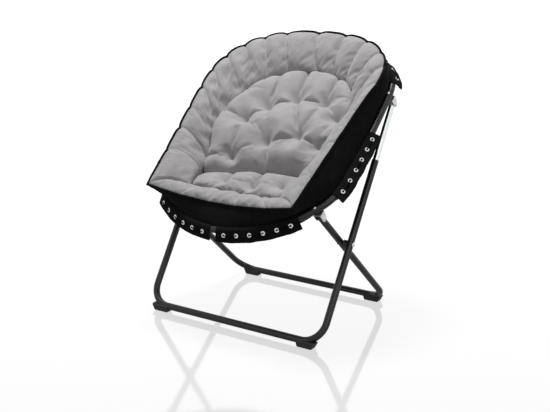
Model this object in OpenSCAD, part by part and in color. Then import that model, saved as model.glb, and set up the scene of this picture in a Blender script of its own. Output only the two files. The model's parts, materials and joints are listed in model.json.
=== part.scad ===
// Folding saucer chair: two crossed U-shaped leg frames carry a tubular hoop on four
// clevis brackets, and a padded fabric bowl is laced to the hoop.
// X is across the chair, the sitter faces -Y, and Z is up from the floor.

/* [Leg frames] */
// Outside diameter of the front leg tube
front_tube_d = 22; // [19:0.5:28]
// Outside diameter of the rear leg tube
rear_tube_d = 21; // [18:0.5:26]
// Wall of both leg tubes
tube_wall = 1.2; // [1:0.1:2]
// Half the distance between the front legs, centre to centre
front_half_w = 328.6; // [300:1:360]
// Clear space between a front leg and the rear leg beside it
leg_gap = 10.5; // [4:0.5:16]
// Height of the crossing pivot above the floor
pivot_z = 287.7; // [260:1:320]
// Distance of the front floor bar in front of the crossing pivot
front_bar_y = 168.6; // [140:1:200]
// Distance of the rear floor bar behind the crossing pivot
rear_bar_y = 304.2; // [270:1:340]
// Height of the floor bars' centre line
bar_z = 19; // [17:0.5:24]
// Centre-line radius of the corner bends
bend_r = 68; // [50:1:90]
// Length of the front leg tube above the crossing pivot
outer_reach = 276.6; // [250:1:300]
// Distance from the crossing pivot to the lower hoop pivot
lower_reach = 159.5; // [140:1:180]

/* [Hoop] */
// Outside diameter of the hoop tube
hoop_d = 22; // [19:0.5:28]
// How far the hoop's centre line stands outside the front legs
hoop_overhang = 9.4; // [0:0.2:20]
// Distance from the hoop's reference centre to its front
hoop_front = 387; // [370:1:400]
// Distance from the hoop's reference centre to its back
hoop_back = 435; // [415:1:450]
// Radius of the front arc, over and above half the hoop's width
front_round = 52; // [30:1:70]
// Radius of the back arc, over and above half the hoop's width
back_round = 57; // [30:1:80]
// Radius of the four corner arcs
corner_arc_r = 150; // [130:1:170]
// Radius of the nearly straight side arcs
side_arc_r = 3000; // [2000:10:5000]
// Place of the widest point, measured towards the back
widest_u = -40; // [-80:1:0]
// Distance of the upper pivots behind the hoop's reference centre
upper_pivot_u = 214.6; // [200:0.2:230]
// Drop of the pivots below the hoop's plane
pivot_drop = 34.8; // [33:0.2:40]

/* [Padded bowl] */
// How far the rim's sides stand inside the hoop's centre line
rim_side_in = 19; // [8:1:30]
// How much each side of the rim runs in towards the front
rim_taper = 49; // [30:1:65]
// How far the front rim stands behind the hoop's front
rim_front_in = 69; // [50:1:85]
// How far the back rim stands in front of the hoop's back
rim_back_in = 5; // [0:1:20]
// Rise of the side rim above the hoop's plane
rim_rise = 80; // [60:1:100]
// How much lower the middle of the front rim lies
front_rim_sag = 33; // [10:1:45]
// How much lower the back rim lies
back_rim_drop = 33; // [10:1:45]
// Depth of the fabric sling below the hoop's plane
sling_depth = 145; // [110:1:160]
// Thickness of the cover fabric
fabric_t = 2; // [1.5:0.1:3]
// Swell of the side cushion above its seams
bolster_swell = 30; // [10:1:40]
// Swell of the back and seat pads above their seams
pad_swell = 26; // [10:1:35]

/* [Laced flaps] */
// Length of a flap from the hoop tube to its free edge
flap_length = 34; // [26:1:44]
// Outside diameter of an eyelet
eyelet_d = 14; // [10:0.5:16]
// Diameter of an eyelet's hole
eyelet_hole_d = 7; // [5:0.5:8]
// Number of eyelets in each front and side flap
eyelet_count = 6; // [4:1:8]
// Number of eyelets in each back flap
back_eyelet_count = 8; // [6:1:10]
// Diameter of the lacing cord
lace_d = 3; // [2:0.1:4]

/* [Hardware] */
// Clearance between a sliding tube and the tube round it, on the radius
slide_gap = 0.05; // [0.02:0.01:0.1]
// Clearance round a pivot pin, on the radius
pin_gap = 0.05; // [0.02:0.01:0.1]
// Clearance between the legs' faces at the crossing
face_gap = 0.3; // [0.2:0.05:0.6]
// Diameter of the pivot pins and crossing rivets
pin_d = 8; // [6:0.5:9]
// Diameter of a rivet head
rivet_head_d = 15; // [12:0.5:18]
// Thickness of a rivet head
rivet_head_t = 2.4; // [1.5:0.1:4]
// Diameter of the bolts that hold the brackets to the hoop
bolt_d = 5; // [4:0.5:7]
// Sheet thickness of the clevis brackets
bracket_t = 2; // [1.5:0.1:3]
// Width of a bracket along the hoop
bracket_w = 24; // [20:0.5:28]
// Clearance between a leg tube and each bracket ear
ear_gap = 0.6; // [0.3:0.1:1.5]
// Length of a foot pad
foot_l = 66; // [50:1:76]
// Width of a foot pad
foot_w = 28; // [25:0.5:34]

/* [Hidden] */
$fn = 48;
round_fn = 48;

// Overrun of every cut past the faces that it opens
over = 1;
// Length of one facet of the swept arcs
sweep_facet = 8;
// Arcs of the hoop and of a flap stop this short of a joint, which a short lap then bridges;
// the hoop's lap stands proud as a weld bead, and a flap's as a stitched tape
joint_open = 0.25;
joint_lap = 3;
bead_rise = 0.3;
tape_rise = 0.2;
// Colours of the fabric, the steel and the plastic
cushion_colour = [0.68, 0.66, 0.66];
cover_colour = [0.09, 0.09, 0.10];
enamel_colour = [0.16, 0.16, 0.17];
zinc_colour = [0.80, 0.81, 0.82];
plastic_colour = [0.05, 0.05, 0.055];

// Where the whole depth has its middle, measured back from the crossing pivot
middle_y = 90.7;

// Half the distance between the rear legs, and between the sides of the hoop, centre to centre
rear_half_w = front_half_w - (front_tube_d + rear_tube_d) / 2 - leg_gap;
hoop_half_w = front_half_w + hoop_overhang;

// Lean of each leg, from the floor bar up through the crossing pivot
bar_drop = pivot_z - bar_z;
front_lean = -atan2(front_bar_y, bar_drop);
rear_lean = atan2(rear_bar_y, bar_drop);
front_below = norm([front_bar_y, bar_drop]);
rear_below = norm([rear_bar_y, bar_drop]);

// Telescoping tube that runs in the front leg
inner_tube_d = front_tube_d - 2 * tube_wall - 2 * slide_gap;
// Clear space between the inner tube's end and the rivet that it stands on
stop_gap = 0.3;
inner_hidden = outer_reach - pin_d / 2 - stop_gap;
// Length of a tube past its pivot, and the cap that closes it
tube_past_pivot = 11;
cap_t = 2;
cap_plug = 6;

// Height of a foot pad's side on the tube, and its edge radius
foot_rise = 3;
foot_h = bar_z + foot_rise;
foot_edge = 4;
foot_taper = 3;
foot_toe = 6;
foot_heel = 12;
foot_floor = 3;
foot_inset = 12;
foot_peg_d = 6;
foot_peg_l = 5;
foot_peg_in = 6;

// Hoop outline: centres of its arcs in the hoop's own plane
front_arc_r = hoop_half_w + front_round;
back_arc_r = hoop_half_w + back_round;
front_c = [0, front_arc_r - hoop_front];
back_c = [0, hoop_back - back_arc_r];
side_c = [hoop_half_w - side_arc_r, widest_u];
function met(c0, r0, c1, r1, s) =
    let (d = norm(c1 - c0), e = (c1 - c0) / d, a = (r0 * r0 - r1 * r1 + d * d) / (2 * d),
         h = sqrt(r0 * r0 - a * a))
    c0 + a * e + s * h * [-e[1], e[0]];
front_corner_c = met(front_c, front_arc_r - corner_arc_r, side_c, side_arc_r - corner_arc_r, 1);
back_corner_c = met(back_c, back_arc_r - corner_arc_r, side_c, side_arc_r - corner_arc_r, -1);
function heading(v) = atan2(v[1], v[0]);
// Directions in which neighbouring arcs meet
front_turn = heading(front_corner_c - front_c);
front_side_turn = heading(front_corner_c - side_c);
back_side_turn = heading(back_corner_c - side_c);
back_turn = heading(back_corner_c - back_c);
// Arcs of the right half, from the front to the back: centre, radius, first and last direction
arcs = [
    [front_c, front_arc_r, -90, front_turn],
    [front_corner_c, corner_arc_r, front_turn, front_side_turn],
    [side_c, side_arc_r, front_side_turn, back_side_turn],
    [back_corner_c, corner_arc_r, back_side_turn, back_turn],
    [back_c, back_arc_r, back_turn, 90]
];
function arc_len(i) = arcs[i][1] * (arcs[i][3] - arcs[i][2]) * PI / 180;
function len_before(i) = i == 0 ? 0 : len_before(i - 1) + arc_len(i - 1);
half_hoop_len = len_before(len(arcs));
function dir_in(i, s) = arcs[i][2] + (s - len_before(i)) / arcs[i][1] * 180 / PI;
function arc_at(s, i = 0) = i == len(arcs) - 1 || s <= len_before(i + 1) ? i : arc_at(s, i + 1);
function unit(a) = [cos(a), sin(a)];
// Place on the hoop at a length from the front middle, with the outward direction
function hoop_dir(s) = let (i = arc_at(s)) dir_in(i, s);
function hoop_at(s) = let (i = arc_at(s)) arcs[i][0] + arcs[i][1] * unit(dir_in(i, s));

// Half width at a place along the depth of the hoop's outline, or of a line at an inset inside it
function across(c, r, u) = c[0] + sqrt(max(r * r - (u - c[1]) * (u - c[1]), 0));
function join_u(i, inset) = arcs[i][0][1] + (arcs[i][1] - inset) * sin(arcs[i][2]);
function half_w(u, inset = 0) =
    u < join_u(1, inset) ? across(front_c, front_arc_r - inset, u)
    : u < join_u(2, inset) ? across(front_corner_c, corner_arc_r - inset, u)
    : u < join_u(3, inset) ? across(side_c, side_arc_r - inset, u)
    : u < join_u(4, inset) ? across(back_corner_c, corner_arc_r - inset, u)
    : across(back_c, back_arc_r - inset, u);
// Hoop's point in a direction from the reference centre
function join_dir(i) = heading(arcs[i][0] + arcs[i][1] * unit(arcs[i][2]));
function ray_hit(c, r, a) = let (k = c * unit(a)) unit(a) * (k + sqrt(k * k - c * c + r * r));
function hoop_toward(a) =
    a < join_dir(1) ? ray_hit(front_c, front_arc_r, a)
    : a < join_dir(2) ? ray_hit(front_corner_c, corner_arc_r, a)
    : a < join_dir(3) ? ray_hit(side_c, side_arc_r, a)
    : a < join_dir(4) ? ray_hit(back_corner_c, corner_arc_r, a)
    : ray_hit(back_c, back_arc_r, a);

// The lower pivots sit where the hoop passes over the rear legs, this far inside their centres
lower_inset = 5.7;
lower_x = rear_half_w - lower_inset;
function front_u(c, r) = c[1] - sqrt(r * r - (lower_x - c[0]) * (lower_x - c[0]));
lower_pivot_u = -(lower_x < front_corner_c[0] + corner_arc_r * cos(front_turn)
    ? front_u(front_c, front_arc_r) : front_u(front_corner_c, corner_arc_r));

// Triangle of the crossing pivot and the two hoop pivots, then the pivots as depth and height
pivot_span = lower_pivot_u + upper_pivot_u;
opening = rear_lean - front_lean;
upper_reach = lower_reach * cos(opening) + sqrt(pow(pivot_span, 2) - pow(lower_reach * sin(opening), 2));
lower_pivot = [-sin(rear_lean), cos(rear_lean)] * lower_reach + [0, pivot_z];
upper_pivot = [-sin(front_lean), cos(front_lean)] * upper_reach + [0, pivot_z];
tilt = heading(upper_pivot - lower_pivot);
hoop_centre = lower_pivot + lower_pivot_u * unit(tilt) + pivot_drop * unit(tilt + 90);

// Rim outline: the sides run straight from the front corners to where the back begins
rim_half_w = hoop_half_w - rim_side_in;
rim_front_half_w = rim_half_w - rim_taper;
rim_front = hoop_front - rim_front_in;
rim_back = hoop_back - rim_back_in;
rim_round_l = 245;
back_begins_u = rim_back - rim_round_l;
back_power_share = 2.4;
// Fall of the rim starts this far in front of its rounded back and steepens by this power
drop_before = 85;
drop_begins_u = back_begins_u - drop_before;
drop_power_share = 1.3;
front_bow = 4;
corner_drop = 6;
function rim_back_pt(t) =
    [rim_half_w * sign(cos(t)) * pow(abs(cos(t)), 2 / back_power_share),
     back_begins_u + (rim_back - back_begins_u) * pow(sin(t), 2 / back_power_share)];
function rim_side_pt(k) =
    [rim_half_w + (rim_front_half_w - rim_half_w) * k, back_begins_u - (back_begins_u + rim_front) * k];
function mirrored(p) = [-p[0], p[1]];
// Station t runs from -90 at the front right corner, over 90 at the back, to 270 at the left
function rim_plan(t) =
    t < 0 ? rim_side_pt(-t / 90)
    : t > 180 ? mirrored(rim_side_pt((t - 180) / 90))
    : rim_back_pt(t);
function rim_height(u) =
    u > drop_begins_u
    ? rim_rise - back_rim_drop * pow((u - drop_begins_u) / (rim_back - drop_begins_u), drop_power_share)
    : rim_rise - corner_drop * (drop_begins_u - u) / (drop_begins_u + rim_front);
function rim(t) = let (p = rim_plan(t)) [p[0], p[1], rim_height(p[1])];
function front_rim(f) =
    [rim_front_half_w * f, -rim_front - front_bow * (1 - f * f),
     rim_height(-rim_front) - front_rim_sag * (1 - f * f)];

// Wall of the cover from the hoop up to the rim
wall_foot_in = 7;
wall_bulge = 7;
tube_cover_r = hoop_d / 2 + fabric_t;
wall_foot_h = sqrt(tube_cover_r * tube_cover_r - wall_foot_in * wall_foot_in) + face_gap;
function wall_foot(p) =
    let (a = atan2(p[1], abs(p[0])), h = hoop_toward(a), k = 1 - wall_foot_in / norm(h))
    [sign(p[0]) * h[0] * k, h[1] * k, wall_foot_h];
function outward(p) = let (n = norm([p[0], p[1]])) [p[0] / n, p[1] / n, 0];
wall_rows_share = [0, 0.35, 0.7, 1];
// Stations shared by the walls and by the padding inside them
rim_steps = 72;
side_wall_steps = 26;
function rim_t(k) = -90 + 360 * k / rim_steps;
front_steps = 24;
function front_f(k) = 1 - 2 * k / front_steps;
function wall_pt(r, v, d) =
    let (b = wall_foot(r))
    b + (r - b) * v + outward(r) * (wall_bulge * 4 * v * (1 - v) - d);
function wall_section(r) = concat(
    [for (v = wall_rows_share) wall_pt(r, v, 0)],
    [for (i = [len(wall_rows_share) - 1:-1:0]) wall_pt(r, wall_rows_share[i], fabric_t)]);

// Solid through a row of closed sections with equal counts of points; a section that is a thin
// strip, there and back, is closed by rungs across it, and its two faces are split the same way
function between(m, n, strip) = [for (j = [0:m - 2]) for (i = [0:n - 1])
    let (k = (i + 1) % n, a = j * n + i, b = j * n + k, c = (j + 1) * n + k, d = (j + 1) * n + i)
    each strip && i < n / 2 ? [[a, b, c], [a, c, d]] : [[a, b, d], [b, c, d]]];
function rungs(n) = [for (i = [0:n / 2 - 2])
    each [[i + 1, i, n - 1 - i], [i + 1, n - 1 - i, n - 2 - i]]];
function turned(faces, first) = [for (f = faces) [first + f[0], first + f[2], first + f[1]]];
module loft(rows, strip = false) {
    n = len(rows[0]);
    m = len(rows);
    fan = [for (i = [0:n - 1]) [(i + 1) % n, i]];
    caps = strip ? concat(rungs(n), turned(rungs(n), (m - 1) * n))
        : concat([for (f = fan) [f[0], f[1], m * n]],
                 [for (f = fan) [(m - 1) * n + f[1], (m - 1) * n + f[0], m * n + 1]]);
    middles = strip ? [] : [mean(rows[0]), mean(rows[m - 1])];
    polyhedron(concat([for (r = rows) each r], middles), concat(between(m, n, strip), caps), convexity = 8);
}
function mean(a, i = 0, s = [0, 0, 0]) = i == len(a) ? s / len(a) : mean(a, i + 1, s + a[i]);

// Sling that hangs inside the hoop
sling_edge_gap = 0.5;
sling_in = tube_cover_r + sling_edge_gap;
sling_low_u = -70;
sling_power_share = 2.2;
function sling_n(x, u) =
    let (w = half_w(u, sling_in),
         a = min(abs(x) / w, 1),
         lu = u < sling_low_u ? (sling_low_u - u) / (sling_low_u + hoop_front - sling_in)
            : (u - sling_low_u) / (hoop_back - sling_in - sling_low_u))
    -sling_depth * (1 - pow(a, sling_power_share)) * (1 - pow(min(lu, 1), sling_power_share));
sling_steps = 20;
sling_cols = 14;
sling_end_share = 0.985;
function sling_u(j) =
    let (k = -cos(180 * j / sling_steps) * sling_end_share,
         mid = (hoop_back - hoop_front) / 2, reach = (hoop_back + hoop_front) / 2 - sling_in)
    mid + reach * k;
function sling_row(u) =
    let (w = half_w(u, sling_in))
    concat([for (i = [0:sling_cols]) let (x = w * sin(90 * (2 * i / sling_cols - 1))) [x, u, sling_n(x, u)]],
           [for (i = [sling_cols:-1:0]) let (x = w * sin(90 * (2 * i / sling_cols - 1)))
               [x, u, sling_n(x, u) - fabric_t]]);

// Seams that part the cushion: the valley inside the side cushion, and the crease of the seat
side_band_w = 82;
back_band_w = 140;
roll_w = 56;
seat_pad_l = 136;
valley_round_l = 270;
valley_taper = 47;
valley_half_w = rim_half_w - side_band_w;
valley_back_u = rim_back - back_band_w;
valley_side_u = valley_back_u - valley_round_l;
valley_front = [valley_half_w - valley_taper, roll_w - rim_front];
valley_n = -8;
valley_front_n = 12;
crease_u = valley_front[1] + seat_pad_l;
crease_n = -50;
front_valley_n = 16;
pad_gap = 0.5;
pad_under_gap = 3.5;
function valley_plan(t) =
    t < 0 ? let (k = -t / 90) [valley_half_w, valley_side_u] * (1 - k) + valley_front * k
    : t > 180 ? mirrored(valley_plan(180 - t))
    : [valley_half_w * sign(cos(t)) * pow(abs(cos(t)), 2 / back_power_share),
       valley_side_u + (valley_back_u - valley_side_u) * pow(sin(t), 2 / back_power_share)];
function valley_height(u) =
    u > crease_u ? valley_n
    : valley_n + (valley_front_n - valley_n) * (crease_u - u) / (crease_u - valley_front[1]);
function valley(t) = let (p = valley_plan(t)) [p[0], p[1], valley_height(p[1])];

// Side cushion: one stuffed band with sewn channels across it
channel_count = 18;
channel_depth_share = 0.45;
crown_share = [0.12, 0.3, 0.5, 0.7, 0.88];
wall_pad_gap = 1;
inner_d = fabric_t + wall_pad_gap;
foot_in_share = 0.1;
mitre_t = 1;
mitre_share = 0.952;
function puff(t) = 1 - channel_depth_share * pow(abs(cos(channel_count / 2 * (t + 90))), 6);
function crown(top, c, nrm, swell) = [for (k = crown_share) top + c * k + nrm * swell * 4 * k * (1 - k)];
function over_sling(p) = [p[0], p[1], sling_n(p[0], p[1]) + pad_under_gap];
function wall_side(r) =
    [for (i = [0:len(wall_rows_share) - 2]) wall_pt(r, wall_rows_share[i], inner_d)];
function bolster_section(t) =
    let (r = rim(t), o = outward(r), top = r - o * inner_d, v = valley(t), c = v - top,
         up = cross(c, cross(c, o)), foot = wall_pt(r, 0, inner_d),
         foot_in = foot + (v - foot) * foot_in_share)
    concat([top], crown(top, c, up / norm(up), bolster_swell * puff(t)),
           [v, over_sling(v), over_sling((v + foot_in) / 2), over_sling(foot_in)], wall_side(r));

// Front roll between the two front corners
roll_swell = 16;
roll_depth = 52;
roll_ripple_share = 0.25;
function roll_section(f) =
    let (r = front_rim(f), top = r + [0, inner_d, 0],
         v = [valley_front[0] * f, valley_front[1] - pad_gap,
              valley_front_n + (front_valley_n - valley_front_n) * (1 - f * f)],
         c = v - top, up = cross([1, 0, 0], c), foot = wall_pt(r, 0, inner_d),
         foot_in = foot + (v - foot) * foot_in_share,
         swell = roll_swell * (1 - roll_ripple_share + roll_ripple_share * abs(sin(360 * f))))
    concat([top], crown(top, c, up / norm(up), swell),
           [v, v - [0, 0, roll_depth], [foot_in[0], foot_in[1], 0]], wall_side(r));

// Tufts of the back pad and the seat pad, in the hoop's plane
tuft_r = 46;
back_tufts_share = [[0, 0.23], [-0.5, 0.31], [0.5, 0.31], [-0.8, 0.5], [0.8, 0.5], [0, 0.46], [-0.42, 0.6],
                    [0.42, 0.6], [0, 0.72], [-0.62, 0.8], [0.62, 0.8]];
seat_tufts_share = [[0, 0.45], [-0.55, 0.5], [0.55, 0.5]];
function bump(x, u, tufts, i = 0) =
    i == len(tufts) ? 1
    : min(bump(x, u, tufts, i + 1), 1 - exp(-pow(norm([x, u] - tufts[i]) / tuft_r, 2)));
function edge_rise(k) = pow(max(1 - pow(abs(k), 4), 0), 0.5);
back_front_u = crease_u + 4;
back_rows = 18;
pad_cols = 18;
under_cols = 6;
back_slope_l = 106;
back_slope_u = crease_u + back_slope_l;
back_mid_n = -10;
pad_side_gap = 3;
pad_end_share = 0.02;
function back_u(b) = back_front_u + (valley_back_u - pad_side_gap - back_front_u) * b;
function pad_half_w(u) =
    u < valley_side_u
    ? valley_half_w - pad_side_gap
      + (valley_front[0] - valley_half_w) * (valley_side_u - u) / (valley_side_u - valley_front[1])
    : let (k = (u - valley_side_u) / valley_round_l)
      (valley_half_w - pad_side_gap)
      * pow(max(1 - pow(k, back_power_share), pad_end_share), 1 / back_power_share);
function back_base(u) =
    u < back_slope_u ? crease_n + (back_mid_n - crease_n) * (u - back_front_u) / (back_slope_u - back_front_u)
    : back_mid_n;
back_tufts = [for (p = back_tufts_share) [p[0] * valley_half_w, back_u(p[1])]];
function pad_row(u, w, base, swell, tufts) = concat(
    [for (i = [0:pad_cols]) let (k = 2 * i / pad_cols - 1, x = w * k)
        [x, u, base + swell * edge_rise(k) * bump(x, u, tufts)]],
    [for (i = [under_cols:-1:0]) let (k = 2 * i / under_cols - 1, x = w * k)
        [x, u, min(sling_n(x, u) + pad_under_gap, base - pad_under_gap)]]);
function back_row(b) =
    let (u = back_u(b)) pad_row(u, pad_half_w(u), back_base(u), pad_swell * edge_rise(2 * b - 1), back_tufts);

seat_rows = 9;
seat_front_u = valley_front[1] + pad_side_gap;
seat_back_u = crease_u - pad_gap;
function seat_u(b) = seat_front_u + (seat_back_u - seat_front_u) * b;
seat_tufts = [for (p = seat_tufts_share) [p[0] * valley_front[0], seat_u(p[1])]];
function seat_row(b) =
    let (u = seat_u(b), base = front_valley_n + (crease_n - front_valley_n) * b)
    pad_row(u, pad_half_w(u), base, pad_swell * edge_rise(2 * b - 1), seat_tufts);

// Piping round the rim
piping_d = 5;
piping_sides = 6;
piping_gap = 0.2;
piping_lift = piping_d / 2 + piping_gap;
function ring_row(c, d, r) =
    let (t = d / norm(d), a = cross([0, 0, 1], t), b = a / norm(a), n = cross(t, b))
    [for (i = [0:piping_sides - 1]) let (k = 360 * i / piping_sides) c + r * (b * cos(k) + n * sin(k))];
piping_side_steps = 14;
piping_back_steps = 26;
piping_front_steps = 12;
side_stations = [for (i = [0:piping_side_steps]) -90 + 90 * i / piping_side_steps];
back_stations = [for (i = [1:piping_back_steps - 1]) 180 * i / piping_back_steps];
rim_path = concat([for (t = side_stations) rim(t)], [for (t = back_stations) rim(t)],
                  [for (i = [piping_side_steps:-1:0]) rim(180 - side_stations[i])]);
front_path = [for (i = [1:piping_front_steps - 1]) front_rim(2 * i / piping_front_steps - 1)];

// Flaps, as lengths round the hoop from the front middle, each kept clear of the brackets
function arc_of(u) = len([for (i = [1:len(arcs) - 1]) if (u >= join_u(i, 0)) i]);
function len_to(u) =
    let (i = arc_of(u))
    len_before(i) + arcs[i][1] * (heading([half_w(u), u] - arcs[i][0]) - arcs[i][2]) * PI / 180;
lower_bracket_s = len_to(-lower_pivot_u);
upper_bracket_s = len_to(upper_pivot_u);
flap_gap = 11;
front_flap_clear = 54.7;
side_flap_after = 67.7;
side_flap_before = 164;
back_flap_after = 45;
sleeve_gap = 0.5;
front_inset = 27.6;
side_inset = 24;
back_inset = 28;
// Lean of each flap below the hoop's plane
front_hang = 50;
side_hang = 30;
back_hang = 62;
eyelet_drop = 11;
eyelet_t = 0.8;

module at_origin() {
    translate([0, -middle_y, 0]) children();
}

// Places children in the hoop's own plane, with Y towards the back and Z up out of it
module on_hoop() {
    at_origin() translate([0, hoop_centre[0], hoop_centre[1]]) rotate([tilt, 0, 0]) children();
}

module both_sides() {
    children();
    mirror([1, 0, 0]) children();
}

module one_side(left) {
    if (left) mirror([1, 0, 0]) children();
    else children();
}

// Turned piece on the X axis, from x = a to x = b
module rod(d, a, b) {
    translate([a, 0, 0]) rotate([0, 90, 0]) cylinder(d = d, h = b - a);
}

// Solid U of a given diameter, legs along Z and the floor bar below
module u_path(d, half, below, above) {
    both_sides() {
        translate([half, 0, bend_r - below]) cylinder(d = d, h = above + below - bend_r);
        translate([half - bend_r, 0, bend_r - below]) rotate([90, 0, 0]) rotate([0, 0, -90])
            rotate_extrude(angle = 90) translate([bend_r, 0]) circle(d = d);
    }
    translate([0, 0, -below]) rod(d, bend_r - half, half - bend_r);
}

module u_frame(d, half, below, above) {
    difference() {
        u_path(d, half, below, above);
        u_path(d - 2 * tube_wall, half, below, above + over);
        both_sides() {
            translate([half, 0, 0]) rod(pin_d, -d, d);
        }
    }
}

module at_crossing(lean) {
    at_origin() translate([0, 0, pivot_z]) rotate([lean, 0, 0]) children();
}

module front_leg_frame() {
    color(enamel_colour) difference() {
        at_crossing(front_lean) u_frame(front_tube_d, front_half_w, front_below, outer_reach);
        both_sides() foot_hole(front_half_w, -front_bar_y);
    }
}

module rear_leg_frame() {
    color(enamel_colour) difference() {
        at_crossing(rear_lean) difference() {
            u_frame(rear_tube_d, rear_half_w, rear_below, lower_reach + tube_past_pivot);
            both_sides() translate([rear_half_w, 0, lower_reach])
                rod(pin_d + 2 * pin_gap, -rear_tube_d, rear_tube_d);
        }
        both_sides() foot_hole(rear_half_w, rear_bar_y);
    }
}

// Hole in the underside of a floor bar for the peg of a foot
module foot_hole(half, y) {
    at_origin() translate([half - bend_r - foot_peg_in, y, bar_z - front_tube_d])
        cylinder(d = foot_peg_d, h = front_tube_d);
}

// Saddle foot under the end of a floor bar, held by a peg that enters the bar
module foot(half, y, d, lean, below) {
    difference() {
        at_origin() translate([half - bend_r - foot_inset, y, 0]) foot_block();
        at_crossing(lean) u_path(d, half, below, 0);
    }
    at_origin() translate([half - bend_r - foot_peg_in, y, foot_floor])
        cylinder(d = foot_peg_d, h = bar_z - d / 2 + foot_peg_l - foot_floor);
}

module foot_block() {
    w = foot_w / 2;
    intersection() {
        rotate([90, 0, 90]) linear_extrude(height = foot_l)
            polygon([[foot_taper - w, 0], [w - foot_taper, 0], [w, foot_taper],
                     [w, foot_h - foot_edge], [w - foot_edge, foot_h],
                     [foot_edge - w, foot_h], [-w, foot_h - foot_edge], [-w, foot_taper]]);
        translate([0, w, 0]) rotate([90, 0, 0]) linear_extrude(height = foot_w)
            polygon([[foot_toe, 0], [foot_l - foot_heel, 0], [foot_l, foot_h], [0, foot_h]]);
    }
}

module front_foot(left) {
    color(plastic_colour) one_side(left)
        foot(front_half_w, -front_bar_y, front_tube_d, front_lean, front_below);
}

module rear_foot(left) {
    color(plastic_colour) one_side(left)
        foot(rear_half_w, rear_bar_y, rear_tube_d, rear_lean, rear_below);
}

// Cap that plugs a tube's end and closes it with a domed face
module tube_cap(d) {
    translate([0, 0, -cap_plug]) cylinder(d = d - 2 * tube_wall, h = cap_plug);
    intersection() {
        cylinder(d = d, h = cap_t);
        translate([0, 0, cap_t - 2 * d]) sphere(r = 2 * d);
    }
}

module rear_leg_caps() {
    color(plastic_colour) at_crossing(rear_lean) both_sides()
        translate([rear_half_w, 0, lower_reach + tube_past_pivot]) tube_cap(rear_tube_d);
}

module inner_tube(left) {
    color(zinc_colour) at_crossing(front_lean) one_side(left) translate([front_half_w, 0, 0]) difference() {
        translate([0, 0, outer_reach - inner_hidden])
            cylinder(d = inner_tube_d, h = upper_reach + tube_past_pivot - outer_reach + inner_hidden);
        cylinder(d = inner_tube_d - 2 * tube_wall, h = upper_reach + tube_past_pivot + over);
        translate([0, 0, upper_reach]) rod(pin_d + 2 * pin_gap, -inner_tube_d, inner_tube_d);
    }
}

module inner_tube_caps() {
    color(plastic_colour) at_crossing(front_lean) both_sides()
        translate([front_half_w, 0, upper_reach + tube_past_pivot]) tube_cap(inner_tube_d);
}

// Crossing pivot: the rivet's headed half sits in the front leg
crossing_face = rear_half_w + rear_tube_d / 2 + face_gap;
module rivet_head(d, t) {
    intersection() {
        cylinder(d = d, h = t);
        translate([0, 0, t - d]) sphere(r = d);
    }
}

module crossing_rivets() {
    color(zinc_colour) at_crossing(front_lean) both_sides() {
        rod(pin_d, crossing_face, front_half_w + front_tube_d / 2);
        translate([front_half_w + front_tube_d / 2, 0, 0]) rotate([0, 90, 0])
            rivet_head(rivet_head_d, rivet_head_t);
    }
}

module crossing_rivet_tails() {
    color(zinc_colour) at_crossing(rear_lean) both_sides() {
        rod(pin_d, rear_half_w - rear_tube_d / 2, rear_half_w + rear_tube_d / 2);
        translate([rear_half_w - rear_tube_d / 2, 0, 0]) rotate([0, -90, 0])
            rivet_head(rivet_head_d, rivet_head_t);
    }
}

module spacer_bushes() {
    color(plastic_colour) at_crossing(front_lean) both_sides() difference() {
        rod(front_tube_d, crossing_face, front_half_w);
        rod(pin_d, crossing_face - over, front_half_w + over);
        translate([front_half_w, 0, -front_tube_d]) cylinder(d = front_tube_d, h = 2 * front_tube_d);
        translate([front_half_w - front_tube_d / 4, -front_tube_d, -front_tube_d])
            cube([front_tube_d, 2 * front_tube_d, 2 * front_tube_d]);
    }
}

// Part of the hoop between two lengths from the front middle, swept with a 2D section;
// a second section laps each joint between two arcs
module hoop_sweep(s0, s1) {
    for (i = [0:len(arcs) - 1]) {
        a = max(s0, len_before(i)) + joint_open;
        b = min(s1, len_before(i) + arc_len(i)) - joint_open;
        if (b > a) translate(arcs[i][0]) rotate([0, 0, dir_in(i, a)])
            rotate_extrude(angle = dir_in(i, b) - dir_in(i, a), $fn = 2 * PI * arcs[i][1] / sweep_facet)
                translate([arcs[i][1], 0]) children(0);
    }
    for (i = [1:len(arcs) - 1]) {
        if (s0 < len_before(i) && len_before(i) < s1) lap(len_before(i)) children(1);
    }
}

module lap(s) {
    translate(hoop_at(s)) rotate([90, 0, hoop_dir(s)])
        linear_extrude(height = joint_lap, center = true) children();
}

// The whole hoop as a solid bar of a given diameter, with a low weld bead over each joint
module hoop_bar(d) {
    both_sides() hoop_sweep(0, half_hoop_len) {
        circle(d = d, $fn = round_fn);
        circle(d = d + bead_rise, $fn = round_fn);
    }
    for (s = [0, half_hoop_len]) lap(s) circle(d = d + bead_rise, $fn = round_fn);
}

module hoop() {
    color(enamel_colour) on_hoop() difference() {
        hoop_bar(hoop_d);
        hoop_bar(hoop_d - 2 * tube_wall);
        bolt_places() translate([0, 0, -hoop_d]) cylinder(d = bolt_d, h = 2 * hoop_d);
    }
}

// The hoop's centre line over each bracket
lower_place = [lower_x, -lower_pivot_u, 0];
upper_place = [half_w(upper_pivot_u), upper_pivot_u, 0];
module bolt_places() {
    both_sides() {
        translate(lower_place) children();
        translate(upper_place) children();
    }
}

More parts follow.
